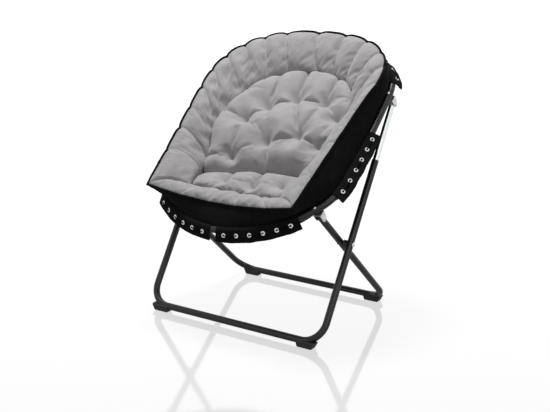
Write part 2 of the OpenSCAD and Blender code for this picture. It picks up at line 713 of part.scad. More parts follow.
// U-shaped clevis under the hoop: a web with two ears that hold the pin
module bracket(x, u, gap, web_x) {
    web_top = -hoop_d / 2;
    ear = bracket_w / 2 - bracket_t;
    translate([x, u, 0]) difference() {
        union() {
            translate([-gap / 2 - bracket_t, -bracket_w / 2, web_top - bracket_t])
                cube([gap + 2 * bracket_t, bracket_w, bracket_t]);
            for (s = [-1, 1]) translate([s * (gap + bracket_t) / 2 - bracket_t / 2, 0, 0])
                rotate([90, 0, 90]) linear_extrude(height = bracket_t) union() {
                    translate([0, -pivot_drop]) circle(r = ear);
                    polygon([[-ear, -pivot_drop], [ear, -pivot_drop],
                             [bracket_w / 2, web_top], [-bracket_w / 2, web_top]]);
                }
        }
        translate([0, 0, -pivot_drop]) rod(pin_d, -gap, gap);
        translate([web_x, 0, -hoop_d]) cylinder(d = bolt_d, h = hoop_d);
    }
}

lower_ear_gap = rear_tube_d + 2 * ear_gap;
upper_ear_gap = inner_tube_d + 2 * ear_gap;

module lower_bracket(left) {
    color(zinc_colour) on_hoop() one_side(left)
        bracket(rear_half_w, -lower_pivot_u, lower_ear_gap, lower_place[0] - rear_half_w);
}

module upper_bracket(left) {
    color(zinc_colour) on_hoop() one_side(left)
        bracket(front_half_w, upper_pivot_u, upper_ear_gap, upper_place[0] - front_half_w);
}

nut_sides = 6;
nut_d = 9.2;
nut_h = 2.6;
bolt_end = 0.4;
bolt_head_d = 11;
bolt_head_t = 3;
module bracket_bolts() {
    color(zinc_colour) on_hoop() bolt_places() {
        bottom = -hoop_d / 2 - bracket_t - nut_h - bolt_end;
        translate([0, 0, bottom]) cylinder(d = bolt_d, h = hoop_d / 2 - bottom);
        translate([0, 0, hoop_d / 2]) rivet_head(bolt_head_d, bolt_head_t);
    }
}

module bracket_nuts() {
    color(zinc_colour) on_hoop() bolt_places()
        translate([0, 0, -hoop_d / 2 - bracket_t - nut_h]) rotate([0, 0, 180 / nut_sides]) difference() {
            cylinder(d = nut_d, h = nut_h, $fn = nut_sides);
            translate([0, 0, -over]) cylinder(d = bolt_d, h = nut_h + 2 * over);
        }
}

module pivot_pin(x, u, gap) {
    face = gap / 2 + bracket_t;
    translate([x, u, -pivot_drop]) {
        rod(pin_d, -face, face);
        translate([face, 0, 0]) rotate([0, 90, 0]) rivet_head(rivet_head_d, rivet_head_t);
        translate([-face, 0, 0]) rotate([0, -90, 0]) rivet_head(rivet_head_d, rivet_head_t);
    }
}

module lower_pivot_pins() {
    color(zinc_colour) on_hoop() both_sides() pivot_pin(rear_half_w, -lower_pivot_u, lower_ear_gap);
}

module upper_pivot_pins() {
    color(zinc_colour) on_hoop() both_sides() pivot_pin(front_half_w, upper_pivot_u, upper_ear_gap);
}

module seat_sling() {
    color(cover_colour) on_hoop() loft([for (j = [0:sling_steps]) sling_row(sling_u(j))], true);
}

module cover_front_wall() {
    color(cover_colour) on_hoop()
        loft([for (k = [0:front_steps]) wall_section(front_rim(front_f(k)))], true);
}

// Each side wall ends where the back of the rim begins to turn
module cover_side_wall(left) {
    color(cover_colour) on_hoop() one_side(left)
        loft([for (k = [side_wall_steps:-1:0]) wall_section(rim(rim_t(k)))], true);
}

module cover_back_wall() {
    color(cover_colour) on_hoop()
        loft([for (k = [rim_steps - side_wall_steps:-1:side_wall_steps]) wall_section(rim(rim_t(k)))], true);
}

module sweep_closed(path) {
    n = piping_sides;
    m = len(path);
    rows = [for (j = [0:m - 1])
        ring_row(path[j] + [0, 0, piping_lift], path[(j + 1) % m] - path[(j + m - 1) % m], piping_d / 2)];
    faces = [for (j = [0:m - 1]) for (i = [0:n - 1]) let (k = (i + 1) % n, l = (j + 1) % m)
        each [[j * n + i, l * n + i, j * n + k], [j * n + k, l * n + i, l * n + k]]];
    polyhedron([for (r = rows) each r], faces, convexity = 8);
}

module rim_piping() {
    color(cover_colour) on_hoop() sweep_closed(concat(rim_path, front_path));
}

module rim_bolster() {
    color(cushion_colour) on_hoop()
        loft([for (k = [0:rim_steps]) bolster_section(min(max(rim_t(k), mitre_t - 90), 270 - mitre_t))]);
}

module back_pad() {
    color(cushion_colour) on_hoop() loft([for (j = [0:back_rows]) back_row(j / back_rows)]);
}

module seat_pad() {
    color(cushion_colour) on_hoop() loft([for (j = [0:seat_rows]) seat_row(j / seat_rows)]);
}

module front_roll() {
    color(cushion_colour) on_hoop()
        loft([for (k = [front_steps:-1:0]) roll_section(min(max(front_f(k), -mitre_share), mitre_share))]);
}

// Section of a flap: a sleeve round the hoop tube and a strip that hangs from it, double at its
// edge; the same section, proud on every face, is the tape over a joint
module flap_section(hang, proud) {
    hem = eyelet_drop + eyelet_d / 2;
    rotate(-hang) union() {
        difference() {
            circle(r = tube_cover_r + proud, $fn = round_fn);
            circle(r = hoop_d / 2 + sleeve_gap - proud, $fn = round_fn);
            square([2 * hoop_d, 2 * hoop_d]);
        }
        translate([0, hoop_d / 2 + sleeve_gap - proud])
            square([flap_length + proud, fabric_t - sleeve_gap + 2 * proud]);
        translate([hem - proud, hoop_d / 2 - fabric_t - proud])
            square([flap_length - hem + 2 * proud, 2 * fabric_t + 2 * proud]);
    }
}

// Each kind of flap: start, end, inset and count of its eyelets, and lean
flaps = [
    [flap_gap, lower_bracket_s - front_flap_clear, front_inset, eyelet_count, front_hang],
    [lower_bracket_s + side_flap_after, upper_bracket_s - side_flap_before, side_inset,
     eyelet_count, side_hang],
    [upper_bracket_s + back_flap_after, half_hoop_len - flap_gap, back_inset, back_eyelet_count, back_hang]
];
function stations(f) =
    let (first = f[0] + f[2], pitch = (f[1] - f[2] - first) / (f[3] - 1))
    [for (i = [0:f[3] - 1]) first + i * pitch];

// Places children at an eyelet, with X towards the flap's free edge and Z out of its face
module at_eyelet(s, hang) {
    translate(hoop_at(s)) rotate([0, 0, hoop_dir(s)]) rotate([0, hang, 0])
        translate([eyelet_drop, 0, hoop_d / 2]) children();
}

module at_eyelets(f) {
    for (s = stations(f)) at_eyelet(s, f[4]) children();
}

module flap(k, left) {
    color(cover_colour) on_hoop() one_side(left) difference() {
        hoop_sweep(flaps[k][0], flaps[k][1]) {
            flap_section(flaps[k][4], 0);
            flap_section(flaps[k][4], tape_rise);
        }
        at_eyelets(flaps[k]) translate([0, 0, -over])
            cylinder(d = eyelet_hole_d + 2 * eyelet_t, h = fabric_t + 2 * over);
    }
}

// Barrel and rolled flange of an eyelet, which clears the tape over a joint
module eyelet() {
    seat = fabric_t + tape_rise;
    rotate_extrude() polygon([
        [eyelet_hole_d / 2, -eyelet_t], [eyelet_hole_d / 2 + eyelet_t, -eyelet_t],
        [eyelet_hole_d / 2 + eyelet_t, seat], [eyelet_d / 2, seat],
        [eyelet_d / 2 - eyelet_t, seat + eyelet_t], [eyelet_hole_d / 2, seat + eyelet_t]]);
}

module eyelets() {
    color(zinc_colour) on_hoop() both_sides() for (f = flaps) at_eyelets(f) eyelet();
}

// Lace: up through one eyelet, along the flap's face, down through the next, and on behind it
lace_lift = 0.4;
lace_over = fabric_t + eyelet_t + lace_lift + lace_d / 2;
lace_under = -fabric_t - lace_lift - lace_d / 2;
lace_corner = 1.5;
lace_aside = 2;
lace_tail = 12;
lace_sides = 6;
lace_runs = 3;

// Point of a lace at a length round the hoop: x from the eyelet to the free edge, z out of the flap's face
function lace_pt(s, hang, x, z) =
    let (a = eyelet_drop + x, h = hoop_d / 2 + z,
         p = hoop_at(s) + (a * cos(hang) + h * sin(hang)) * unit(hoop_dir(s)))
    [p[0], p[1], h * cos(hang) - a * sin(hang)];
function face_z(over) = over ? lace_over : lace_under;
function aside(over) = over ? 0 : lace_aside;
function through(s, up) = [
    [s - lace_corner, aside(!up), face_z(!up)],
    [s, 0, face_z(!up) + (up ? lace_corner : -lace_corner)],
    [s, 0, face_z(up) - (up ? lace_corner : -lace_corner)],
    [s + lace_corner, aside(up), face_z(up)]];
function run(a, b, over) =
    [for (i = [1:lace_runs - 1]) [a + (b - a) * i / lace_runs, aside(over), face_z(over)]];
function edge_dir(s, hang) = let (o = unit(hoop_dir(s)) * cos(hang)) [o[0], o[1], -sin(hang)];
function lace_stops(f) =
    let (places = stations(f), n = len(places), last_up = n % 2 == 1)
    [for (p = concat(
        [[places[0] - lace_tail, aside(false), face_z(false)]],
        [for (i = [0:n - 1]) each concat(
            through(places[i], i % 2 == 0),
            i < n - 1 ? run(places[i], places[i + 1], i % 2 == 0) : [])],
        [[places[n - 1] + lace_tail, aside(last_up), face_z(last_up)]]))
        [lace_pt(p[0], f[4], p[1], p[2]), edge_dir(p[0], f[4])]];
function lace_rows(stops) =
    let (n = len(stops))
    [for (i = [0:n - 1])
        let (d = stops[min(i + 1, n - 1)][0] - stops[max(i - 1, 0)][0], t = d / norm(d),
             side = cross(t, stops[i][1]), a = side / norm(side), b = cross(t, a))
        [for (k = [0:lace_sides - 1])
            stops[i][0] + lace_d / 2 * (a * cos(360 * k / lace_sides) + b * sin(360 * k / lace_sides))]];

module lacing_cords() {
    color(cover_colour) on_hoop() both_sides() for (f = flaps) loft(lace_rows(lace_stops(f)));
}

hoop();
lower_bracket(true);  // lower_bracket_left
lower_bracket(false);  // lower_bracket_right
upper_bracket(true);  // upper_bracket_left
upper_bracket(false);  // upper_bracket_right
bracket_bolts();
bracket_nuts();
lower_pivot_pins();
upper_pivot_pins();
seat_sling();
cover_front_wall();
cover_side_wall(true);  // cover_side_wall_left
cover_side_wall(false);  // cover_side_wall_right
cover_back_wall();
rim_piping();
rim_bolster();
back_pad();
seat_pad();
front_roll();
flap(0, true);  // flap_front_left
flap(0, false);  // flap_front_right
flap(1, true);  // flap_side_left
flap(1, false);  // flap_side_right
flap(2, true);  // flap_back_left
flap(2, false);  // flap_back_right
eyelets();
lacing_cords();
rear_leg_frame();
rear_foot(true);  // rear_foot_left
rear_foot(false);  // rear_foot_right
rear_leg_caps();
crossing_rivet_tails();
inner_tube(true);  // inner_tube_left
inner_tube(false);  // inner_tube_right
inner_tube_caps();
front_leg_frame();
front_foot(true);  // front_foot_left
front_foot(false);  // front_foot_right
crossing_rivets();
spacer_bushes();
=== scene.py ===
import json
import math
import bpy
import numpy as np
from mathutils import Matrix, Vector


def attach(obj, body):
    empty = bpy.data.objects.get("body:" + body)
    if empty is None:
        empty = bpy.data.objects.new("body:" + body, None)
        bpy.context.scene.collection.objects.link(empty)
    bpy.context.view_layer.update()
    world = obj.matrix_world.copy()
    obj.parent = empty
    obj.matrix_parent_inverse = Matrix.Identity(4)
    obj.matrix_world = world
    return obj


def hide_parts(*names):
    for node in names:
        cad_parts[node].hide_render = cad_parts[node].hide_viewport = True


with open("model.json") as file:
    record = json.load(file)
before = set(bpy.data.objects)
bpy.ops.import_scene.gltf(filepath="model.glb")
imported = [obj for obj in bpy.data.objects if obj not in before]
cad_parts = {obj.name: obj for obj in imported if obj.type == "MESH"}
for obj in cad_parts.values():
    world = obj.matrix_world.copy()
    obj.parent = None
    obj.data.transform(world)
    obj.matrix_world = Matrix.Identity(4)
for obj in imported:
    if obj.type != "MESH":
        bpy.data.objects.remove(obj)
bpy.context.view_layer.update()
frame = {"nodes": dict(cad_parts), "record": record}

NODES = frame["nodes"]


# The hoop's own plane in the row frame: origin, direction to the back, and normal
TILT = math.radians(38.38828)
ORIGIN = np.array([0.0, -0.030597, 0.580015])
BACK = np.array([0.0, math.cos(TILT), math.sin(TILT)])
NORMAL = np.array([0.0, -math.sin(TILT), math.cos(TILT)])


def to_world(p):
    """Hoop-plane points in millimetres (x, u, n) to row-frame metres."""
    p = np.asarray(p, float) / 1000
    return ORIGIN + p[..., :1] * np.array([1.0, 0, 0]) + p[..., 1:2] * BACK + p[..., 2:3] * NORMAL


# The bowl's outlines, as in the CAD part, in millimetres in the hoop's plane
R_FRONT, R_CORNER, R_SIDE, R_BACK = 390.0, 150.0, 3000.0, 395.0
C_FRONT, C_SIDE, C_BACK = np.array([0, 3.0]), np.array([338 - 3000.0, -40.0]), np.array([0, 40.0])


def met(c0, r0, c1, r1, s):
    d = np.linalg.norm(c1 - c0)
    e = (c1 - c0) / d
    a = (r0 * r0 - r1 * r1 + d * d) / (2 * d)
    h = math.sqrt(r0 * r0 - a * a)
    return c0 + a * e + s * h * np.array([-e[1], e[0]])


C_FC = met(C_FRONT, R_FRONT - R_CORNER, C_SIDE, R_SIDE - R_CORNER, 1)
C_BC = met(C_BACK, R_BACK - R_CORNER, C_SIDE, R_SIDE - R_CORNER, -1)
ARCS = [(C_FRONT, R_FRONT), (C_FC, R_CORNER), (C_SIDE, R_SIDE), (C_BC, R_CORNER), (C_BACK, R_BACK)]
TURN = [math.atan2(*(C_FC - C_FRONT)[::-1]), math.atan2(*(C_FC - C_SIDE)[::-1]),
         math.atan2(*(C_BC - C_SIDE)[::-1]), math.atan2(*(C_BC - C_BACK)[::-1])]


def joint_dir(i):
    """Direction from the hoop's middle in which arc i meets the next."""
    centre, radius = ARCS[i + 1]
    return math.atan2(*(centre + radius * np.array([math.cos(TURN[i]), math.sin(TURN[i])]))[::-1])


JOINT_DIR = [joint_dir(i) for i in range(len(TURN))]


def hoop_toward(a):
    """Points of the hoop's centre line in directions a, right half."""
    a = np.asarray(a, float)
    i = np.searchsorted(JOINT_DIR, a)
    c = np.array([ARCS[k][0] for k in np.atleast_1d(i)])
    r = np.array([ARCS[k][1] for k in np.atleast_1d(i)])
    d = np.stack([np.cos(np.atleast_1d(a)), np.sin(np.atleast_1d(a))], -1)
    k = (c * d).sum(-1)
    return d * (k + np.sqrt(k * k - (c * c).sum(-1) + r * r))[:, None]


RIM_HALF, RIM_FRONT_HALF, RIM_FRONT, RIM_BACK, RIM_RISE = 319.0, 270.0, 318.0, 430.0, 80.0
BACK_BEGINS, POWER = 185.0, 2.4
RIM_LEVEL_U, RIM_BACK_DROP, RIM_FRONT_DROP = 100.0, 33.0, 6.0
RIM_FRONT_BOW, RIM_FRONT_SAG = 4.0, 33.0
WALL_FOOT_IN, WALL_FOOT_H, WALL_BULGE = 7.0, 11.25, 7.0


def rim_plan(t):
    """Rim station t in degrees: -90 front right corner, 90 back, 270 front left corner."""
    t = np.asarray(t, float)
    m = np.where(t > 90, 180 - t, t)
    c, s = np.cos(np.radians(m)), np.sin(np.radians(np.maximum(m, 0)))
    x = RIM_HALF * np.abs(c) ** (2 / POWER)
    u = BACK_BEGINS + (RIM_BACK - BACK_BEGINS) * s ** (2 / POWER)
    k = -m / 90
    x = np.where(m < 0, RIM_HALF + (RIM_FRONT_HALF - RIM_HALF) * k, x)
    u = np.where(m < 0, BACK_BEGINS - (BACK_BEGINS + RIM_FRONT) * k, u)
    return np.stack([np.where(t > 90, -x, x), u], -1)


def rim_height(u):
    """Height of the rim over the hoop's plane, lower at the back and at the front."""
    over = np.maximum((u - RIM_LEVEL_U) / (RIM_BACK - RIM_LEVEL_U), 0)
    under = np.maximum(RIM_LEVEL_U - u, 0)
    return RIM_RISE - RIM_BACK_DROP * over ** 1.3 - RIM_FRONT_DROP * under / (RIM_LEVEL_U + RIM_FRONT)


def rim(t):
    """Rim point at a station."""
    p = rim_plan(t)
    return np.concatenate([p, rim_height(p[..., 1:2])], -1)


def front_rim(f):
    """Front rim point, f from -1 at the left corner to 1 at the right one."""
    f = np.asarray(f, float)
    u = -RIM_FRONT - RIM_FRONT_BOW * (1 - f * f)
    return np.stack([RIM_FRONT_HALF * f, u, rim_height(-RIM_FRONT) - RIM_FRONT_SAG * (1 - f * f)], -1)


def outward(p):
    """Direction from the bowl's middle through a point, in the hoop's plane."""
    n = np.linalg.norm(p[..., :2], axis=-1, keepdims=True)
    return np.concatenate([p[..., :2] / n, np.zeros_like(n)], -1)


def wall_pt(r, v, d):
    """Point of the wall under rim point r: v from the hoop to the rim, d inside the outer face."""
    a = np.arctan2(r[..., 1], np.abs(r[..., 0]))
    h = hoop_toward(a)
    h = h * (1 - WALL_FOOT_IN / np.linalg.norm(h, axis=-1, keepdims=True))
    side = np.where(r[..., 0] < 0, -1, 1)
    b = np.stack([side * h[..., 0], h[..., 1], np.full(h.shape[:-1], WALL_FOOT_H)], -1)
    return b + (r - b) * v + outward(r) * (WALL_BULGE * 4 * v * (1 - v) - d)


def noise(p, seed, octaves=3, scale=1.0):
    """Smooth deterministic noise from sums of sines over points p, about -1 to 1."""
    rng = np.random.default_rng(seed)
    out = np.zeros(p.shape[:-1])
    amp, total = 1.0, 0.0
    for o in range(octaves):
        for _ in range(5):
            w = rng.normal(size=p.shape[-1])
            w *= (2 ** o) / (scale * np.linalg.norm(w))
            out += amp * np.sin(p @ w * 2 * math.pi + rng.uniform(0, 6.28))
        total += amp * 2.2
        amp *= 0.55
    return out / total


# Meshes
def make_mesh(name, verts, faces, smooth=True):
    """Object from vertices and faces."""
    me = bpy.data.meshes.new(name)
    me.from_pydata([tuple(v) for v in verts], [], [tuple(int(i) for i in f) for f in faces])
    me.validate()
    if smooth:
        me.shade_smooth()
    o = bpy.data.objects.new(name, me)
    bpy.context.scene.collection.objects.link(o)
    return o


def tube_grid(rows, closed_rows=False):
    """Faces of a grid of rows whose columns close into loops; ends are capped unless the rows close."""
    m, n = rows.shape[:2]
    faces = []
    for j in range(m if closed_rows else m - 1):
        k = (j + 1) % m
        for i in range(n):
            l = (i + 1) % n
            faces.append((j * n + i, j * n + l, k * n + l, k * n + i))
    verts = list(rows.reshape(-1, 3))
    if not closed_rows:
        for j, flip in ((0, True), (m - 1, False)):
            c = len(verts)
            verts.append(rows[j].mean(0))
            for i in range(n):
                l = (i + 1) % n
                f = (j * n + l, j * n + i, c)
                faces.append(f[::-1] if not flip else f)
    return np.array(verts), faces


def fix_normals(o):
    """Turn all faces of a closed mesh outwards."""
    import bmesh
    bm = bmesh.new()
    bm.from_mesh(o.data)
    bmesh.ops.recalc_face_normals(bm, faces=bm.faces)
    bm.to_mesh(o.data)
    bm.free()
    o.data.shade_smooth()


# The valley between the padded band and the pads, in the hoop's plane
VALLEY_HALF, VALLEY_SIDE, VALLEY_BACK = 240.0, 20.0, 292.0
VALLEY_FRONT = (166.0, -262.0)
VALLEY_N, VALLEY_FRONT_RISE, VALLEY_LEVEL_U = -10.0, 22.0, -126.0
VALLEY_DIP, VALLEY_DIP_U, VALLEY_DIP_L = 22.0, -130.0, 55.0


def valley_station(t):
    """Stations whose seams run a little askew over the top of the back."""
    return t - 7 * np.exp(-((t - 86) / 24) ** 2)


def valley(t):
    """Point of the seam between the padded band and the pads, at a rim station."""
    t = valley_station(np.asarray(t, float))
    m = np.where(t > 90, 180 - t, t)
    c, s = np.abs(np.cos(np.radians(m))), np.sin(np.radians(np.maximum(m, 0)))
    p = np.where(t > 90, 2.1, 2.6)
    x = VALLEY_HALF * c ** (2 / p)
    u = VALLEY_SIDE + (VALLEY_BACK - VALLEY_SIDE) * s ** (2 / p)
    k = np.clip(-m / 90, 0, 1)
    u = np.where(m < 0, VALLEY_SIDE + (VALLEY_FRONT[1] - VALLEY_SIDE) * k, u)
    x = np.where(m < 0, VALLEY_HALF + (VALLEY_FRONT[0] - VALLEY_HALF) * k ** 1.25, x)
    reach = VALLEY_LEVEL_U - VALLEY_FRONT[1]
    n = np.where(u > VALLEY_LEVEL_U, VALLEY_N, VALLEY_N + VALLEY_FRONT_RISE * (VALLEY_LEVEL_U - u) / reach)
    n = n - VALLEY_DIP * np.exp(-((u - VALLEY_DIP_U) / VALLEY_DIP_L) ** 2)
    return np.stack([np.where(t > 90, -x, x), u, n], -1)


def inflate(o, hold, pressure, limit, frames=20, slack=-0.04, bend=0.3, stiff=12.0):
    """Blow a closed mesh up as cloth. hold: share by which each vertex is held. limit: the most it moves."""
    n = len(o.data.vertices)
    rest = np.empty(n * 3)
    o.data.vertices.foreach_get("co", rest)
    rest = rest.reshape(-1, 3)
    g = o.vertex_groups.new(name="held")
    for i in np.nonzero(hold > 0.01)[0]:
        g.add([int(i)], float(min(hold[i], 1.0)), "REPLACE")
    md = o.modifiers.new("puff", "CLOTH")
    s = md.settings
    s.quality = 5
    s.mass = 0.15
    s.tension_stiffness = stiff
    s.compression_stiffness = stiff
    s.shear_stiffness = stiff * 0.6
    s.bending_stiffness = bend
    s.tension_damping = s.compression_damping = s.shear_damping = 12.0
    s.air_damping = 3.0
    s.use_pressure = True
    s.uniform_pressure_force = pressure
    s.vertex_group_mass = "held"
    s.pin_stiffness = 1.0
    s.shrink_min = slack
    s.effector_weights.gravity = 0
    md.collision_settings.use_collision = False
    scene = bpy.context.scene
    scene.frame_start, scene.frame_end = 1, frames
    md.point_cache.frame_start, md.point_cache.frame_end = 1, frames
    for f in range(1, frames + 1):
        scene.frame_set(f)
    dg = bpy.context.evaluated_depsgraph_get()
    me = o.evaluated_get(dg).to_mesh()
    new = np.empty(n * 3)
    me.vertices.foreach_get("co", new)
    o.evaluated_get(dg).to_mesh_clear()
    new = new.reshape(-1, 3)
    d = new - rest
    length = np.linalg.norm(d, axis=1, keepdims=True)
    d *= np.minimum(1, limit / np.maximum(length, 1e-9))
    o.modifiers.remove(md)
    o.vertex_groups.clear()
    scene.frame_set(1)
    o.data.vertices.foreach_set("co", (rest + d).reshape(-1))
    o.data.update()


def coons(bottom, top, left, right):
    """Grid inside four edges; bottom and top run across, left and right run up."""
    m, n = len(left), len(bottom)
    v = np.linspace(0, 1, m)[:, None, None]
    k = np.linspace(0, 1, n)[None, :, None]
    b, t = bottom[None], top[None]
    l, r = left[:, None], right[:, None]
    corners = ((1 - k) * (1 - v) * bottom[0] + k * (1 - v) * bottom[-1]
               + (1 - k) * v * top[0] + k * v * top[-1])
    return (1 - v) * b + v * t + (1 - k) * l + k * r - corners


def evenly(p, n):
    """The same line with n points at even steps."""
    s = np.concatenate([[0], np.cumsum(np.linalg.norm(np.diff(p, axis=0), axis=1))])
    q = np.linspace(0, s[-1], n)
    return np.stack([np.interp(q, s, p[:, i]) for i in range(p.shape[1])], -1)


# Tufts of the back pad, and the creases between them as sharp or soft folds
TUFTS = {"low": (-4, -30), "left": (-116, -92), "mid": (98, 6), "right": (182, -22), "top": (10, 162),
         "upper_left": (-78, 116), "upper_right": (122, 156), "side": (-130, 50), "far": (196, 92)}
FOLDS = [("low", "mid", 0.8), ("low", (30, -124), 1.0), ("low", "side", 0.25), ("low", "left", 0.3),
         ("left", "side", 0.75), ("side", "upper_left", 0.8), ("upper_left", "top", 0.75),
         ("top", "upper_right", 0.7), ("mid", "top", 0.7), ("mid", "upper_right", 0.5),
         ("mid", "right", 0.8), ("upper_right", "far", 0.55), ("right", "far", 0.45),
         ("upper_left", (-96, 250), 0.65), ("top", (-4, 282), 0.7), ("upper_right", (118, 268), 0.65),
         ("side", (-226, 78), 0.45), ("left", (-204, -110), 0.3), ("left", (-108, -124), 0.5),
         ("far", (226, 130), 0.5), ("right", (212, -60), 0.5), ("low", (-60, 20), 0.35),
         ("mid", (60, 70), 0.3), ("upper_left", (-40, 60), 0.3)]


def place(p):
    """Place of a named tuft, or of a point."""
    return np.array(TUFTS[p] if isinstance(p, str) else p, float)


def seg_dist(x, u, a, b):
    """Distance to the line from a to b."""
    d = b - a
    t = np.clip(((x - a[0]) * d[0] + (u - a[1]) * d[1]) / (d @ d), 0, 1)
    return np.hypot(x - a[0] - t * d[0], u - a[1] - t * d[1])


def tuft_dist(x, u, tufts):
    """Distance to the nearest tuft."""
    return np.min([np.hypot(x - t[0], u - t[1]) for t in tufts], axis=0)


def puffs(x, u, tufts, folds, reach, fold_w, depth):
    """Share between 0 at a tuft and 1 on a puff, with folds between the tufts."""
    h = 1 - np.exp(-(tuft_dist(x, u, tufts) / reach) ** 1.2)
    for a, b, s in folds:
        d = seg_dist(x, u, place(a), place(b))
        h = np.minimum(h, 1 - s * depth * np.exp(-(d / fold_w) ** 1.15))
    return h


# The sling's deepest place, its depth and outline, as lengths from the middle of the hoop
SLING_DEEP_U, SLING_DEPTH, SLING_HALF_W, SLING_POWER = -70, 145, 318.0, 2.2
HOOP_FRONT, HOOP_BACK, SLING_IN = 387, 435, 13.5


def sling_level(x, u):
    """Height of the sling under the padding."""
    to_front = (SLING_DEEP_U - u) / (SLING_DEEP_U + HOOP_FRONT - SLING_IN)
    to_back = (u - SLING_DEEP_U) / (HOOP_BACK - SLING_IN - SLING_DEEP_U)
    lu = np.where(u < SLING_DEEP_U, to_front, to_back)
    a = np.minimum(np.abs(x) / SLING_HALF_W, 1)
    return -SLING_DEPTH * (1 - a ** SLING_POWER) * (1 - np.minimum(np.abs(lu), 1) ** SLING_POWER)


def closed_pad(name, plan, top, low):
    """Closed pad from a plan grid (rows, columns, 2) with its top and underside heights."""
    m, n = plan.shape[:2]
    up = np.concatenate([plan, top[..., None]], -1)
    dn = np.concatenate([plan, low[..., None]], -1)
    verts = np.concatenate([up.reshape(-1, 3), dn.reshape(-1, 3)])
    faces = []
    for j in range(m - 1):
        for i in range(n - 1):
            a = j * n + i
            faces.append((a, a + 1, a + n + 1, a + n))
            a += m * n
            faces.append((a, a + n, a + n + 1, a + 1))
    border = list(range(n)) + [j * n + n - 1 for j in range(1, m)]
    border += [(m - 1) * n + i for i in range(n - 2, -1, -1)] + [j * n for j in range(m - 2, 0, -1)]
    for q, a in enumerate(border):
        b = border[(q + 1) % len(border)]
        faces.append((a, a + m * n, b + m * n, b))
    o = make_mesh(name, to_world(verts), faces)
    fix_normals(o)
    return o


# Level of the back pad along its length
BACK_LEVEL_U = [-124, -90, -60, -27, 10, 90, 178, 265, 300]
BACK_LEVEL_N = [-52, -34, -20, -12, -8, -12, -20, -14, -6]
BACK_SWELL, BACK_SINK, BACK_EDGE_DROP = 40.0, 10.0, 10.0
BACK_CUP, BACK_HALF_W, BACK_SIDE_N = 10, 240, -22
BACK_TUFT_R, BACK_FOLD_W, BACK_FOLD_DEPTH = 30.0, 12.0, 0.86

# Crease between the back pad and the seat pad, and the pads' raised sides
CREASE_X = [-214, -133, -77, -27, 47, 214]
CREASE_U = [-176, -160, -142, -135, -125, -124]
RISE_FROM_X, RISE_OVER_X, RISE_BELOW_U, RISE_OVER_U = 140, 70, -20, 50
TUFT_HOLD_R, FOLD_HOLD_R, FOLD_HOLD = 5.0, 3.0, 0.10
PAD_OVER_SLING, PAD_LEAST, BACK_THICK, SEAT_THICK = 3, 8, 34, 30


def crease(x):
    """Place of the crease along the bowl, by the place across it."""
    return np.interp(x, CREASE_X, CREASE_U)


def side_rise(x, u):
    """Share by which a pad's side climbs to the band's seam, below the widest place."""
    k = np.clip((np.abs(x) - RISE_FROM_X) / RISE_OVER_X, 0, 1)
    return k * k * (3 - 2 * k) * np.clip((RISE_BELOW_U - u) / RISE_OVER_U, 0, 1)


def pad_hold(x, u, tufts):
    """Hold of a pad's vertices, upper face first: full at its border, its tufts and its underside."""
    held = np.exp(-(tuft_dist(x, u, tufts) / TUFT_HOLD_R) ** 2)
    held[0] = held[-1] = 1
    held[:, 0] = held[:, -1] = 1
    return np.concatenate([held.reshape(-1), np.ones(held.size)])


def back_pad_piece():
    """Back pad, inside the band's seam and behind the crease, with its hold."""
    side_l = valley(np.linspace(243, 142, 60))[:, :2]
    side_r = valley(np.linspace(-44, 44, 60))[:, :2]
    left = evenly(side_l[side_l[:, 1] > crease(side_l[0, 0])], 100)
    right = evenly(side_r[side_r[:, 1] > CREASE_U[-1]], 100)
    top_edge = evenly(valley(np.linspace(142, 44, 80))[:, :2], 116)
    bx = np.linspace(left[0, 0], right[0, 0], 116)
    bottom = np.stack([bx, crease(bx)], -1)
    left[0], right[0] = bottom[0], bottom[-1]
    top_edge[0], top_edge[-1] = left[-1], right[-1]
    plan = coons(bottom, top_edge, left, right)
    x, u = plan[..., 0], plan[..., 1]
    m, n = x.shape
    k = np.linspace(-1, 1, n)[None, :]
    v = np.linspace(-1, 1, m)[:, None]
    edge = (1 - np.abs(k) ** 10) ** 0.5 * (1 - np.abs(v) ** 12) ** 0.5
    tufts = [place(q) for q in TUFTS.values()]
    h = puffs(x, u, tufts, FOLDS, BACK_TUFT_R, BACK_FOLD_W, BACK_FOLD_DEPTH)
    w = u - (crease(x) - CREASE_U[-1]) * np.clip((RISE_BELOW_U - u) / (RISE_BELOW_U - CREASE_U[-1]), 0, 1)
    level = np.interp(w, BACK_LEVEL_U, BACK_LEVEL_N)
    level = level + BACK_CUP * (np.abs(x) / BACK_HALF_W) ** 2
    level = level + (BACK_SIDE_N - level) * side_rise(x, u)
    top = level + BACK_SWELL * h * edge - BACK_SINK - BACK_EDGE_DROP * (1 - edge)
    low = np.minimum(sling_level(x, u) + PAD_OVER_SLING, level - BACK_THICK)
    low = np.minimum(low, top - PAD_LEAST)
    o = closed_pad("back_cushion", plan, top, low)
    hold = pad_hold(x, u, tufts)
    fold = np.zeros_like(x)
    for a, b, s in FOLDS:
        d = seg_dist(x, u, place(a), place(b))
        fold = np.maximum(fold, s * np.exp(-(d / FOLD_HOLD_R) ** 2))
    hold[:fold.size] = np.maximum(hold[:fold.size], FOLD_HOLD * (fold.reshape(-1) > 0.5))
    return o, hold


# Seams of the padded band, in stations, and how deep each is sewn
SEAMS = np.array([-70, -44, -20, 2, 19, 38, 58, 76, 91, 110.6, 127.7, 145.2, 163, 179, 194, 211, 227, 245.0])
SEAM_DEPTH = np.array([.2, .25, .25, .35, .7, .85, .8, .85, .85, .85, .8, .85, .8, .5, .8, .25, .6, .25])

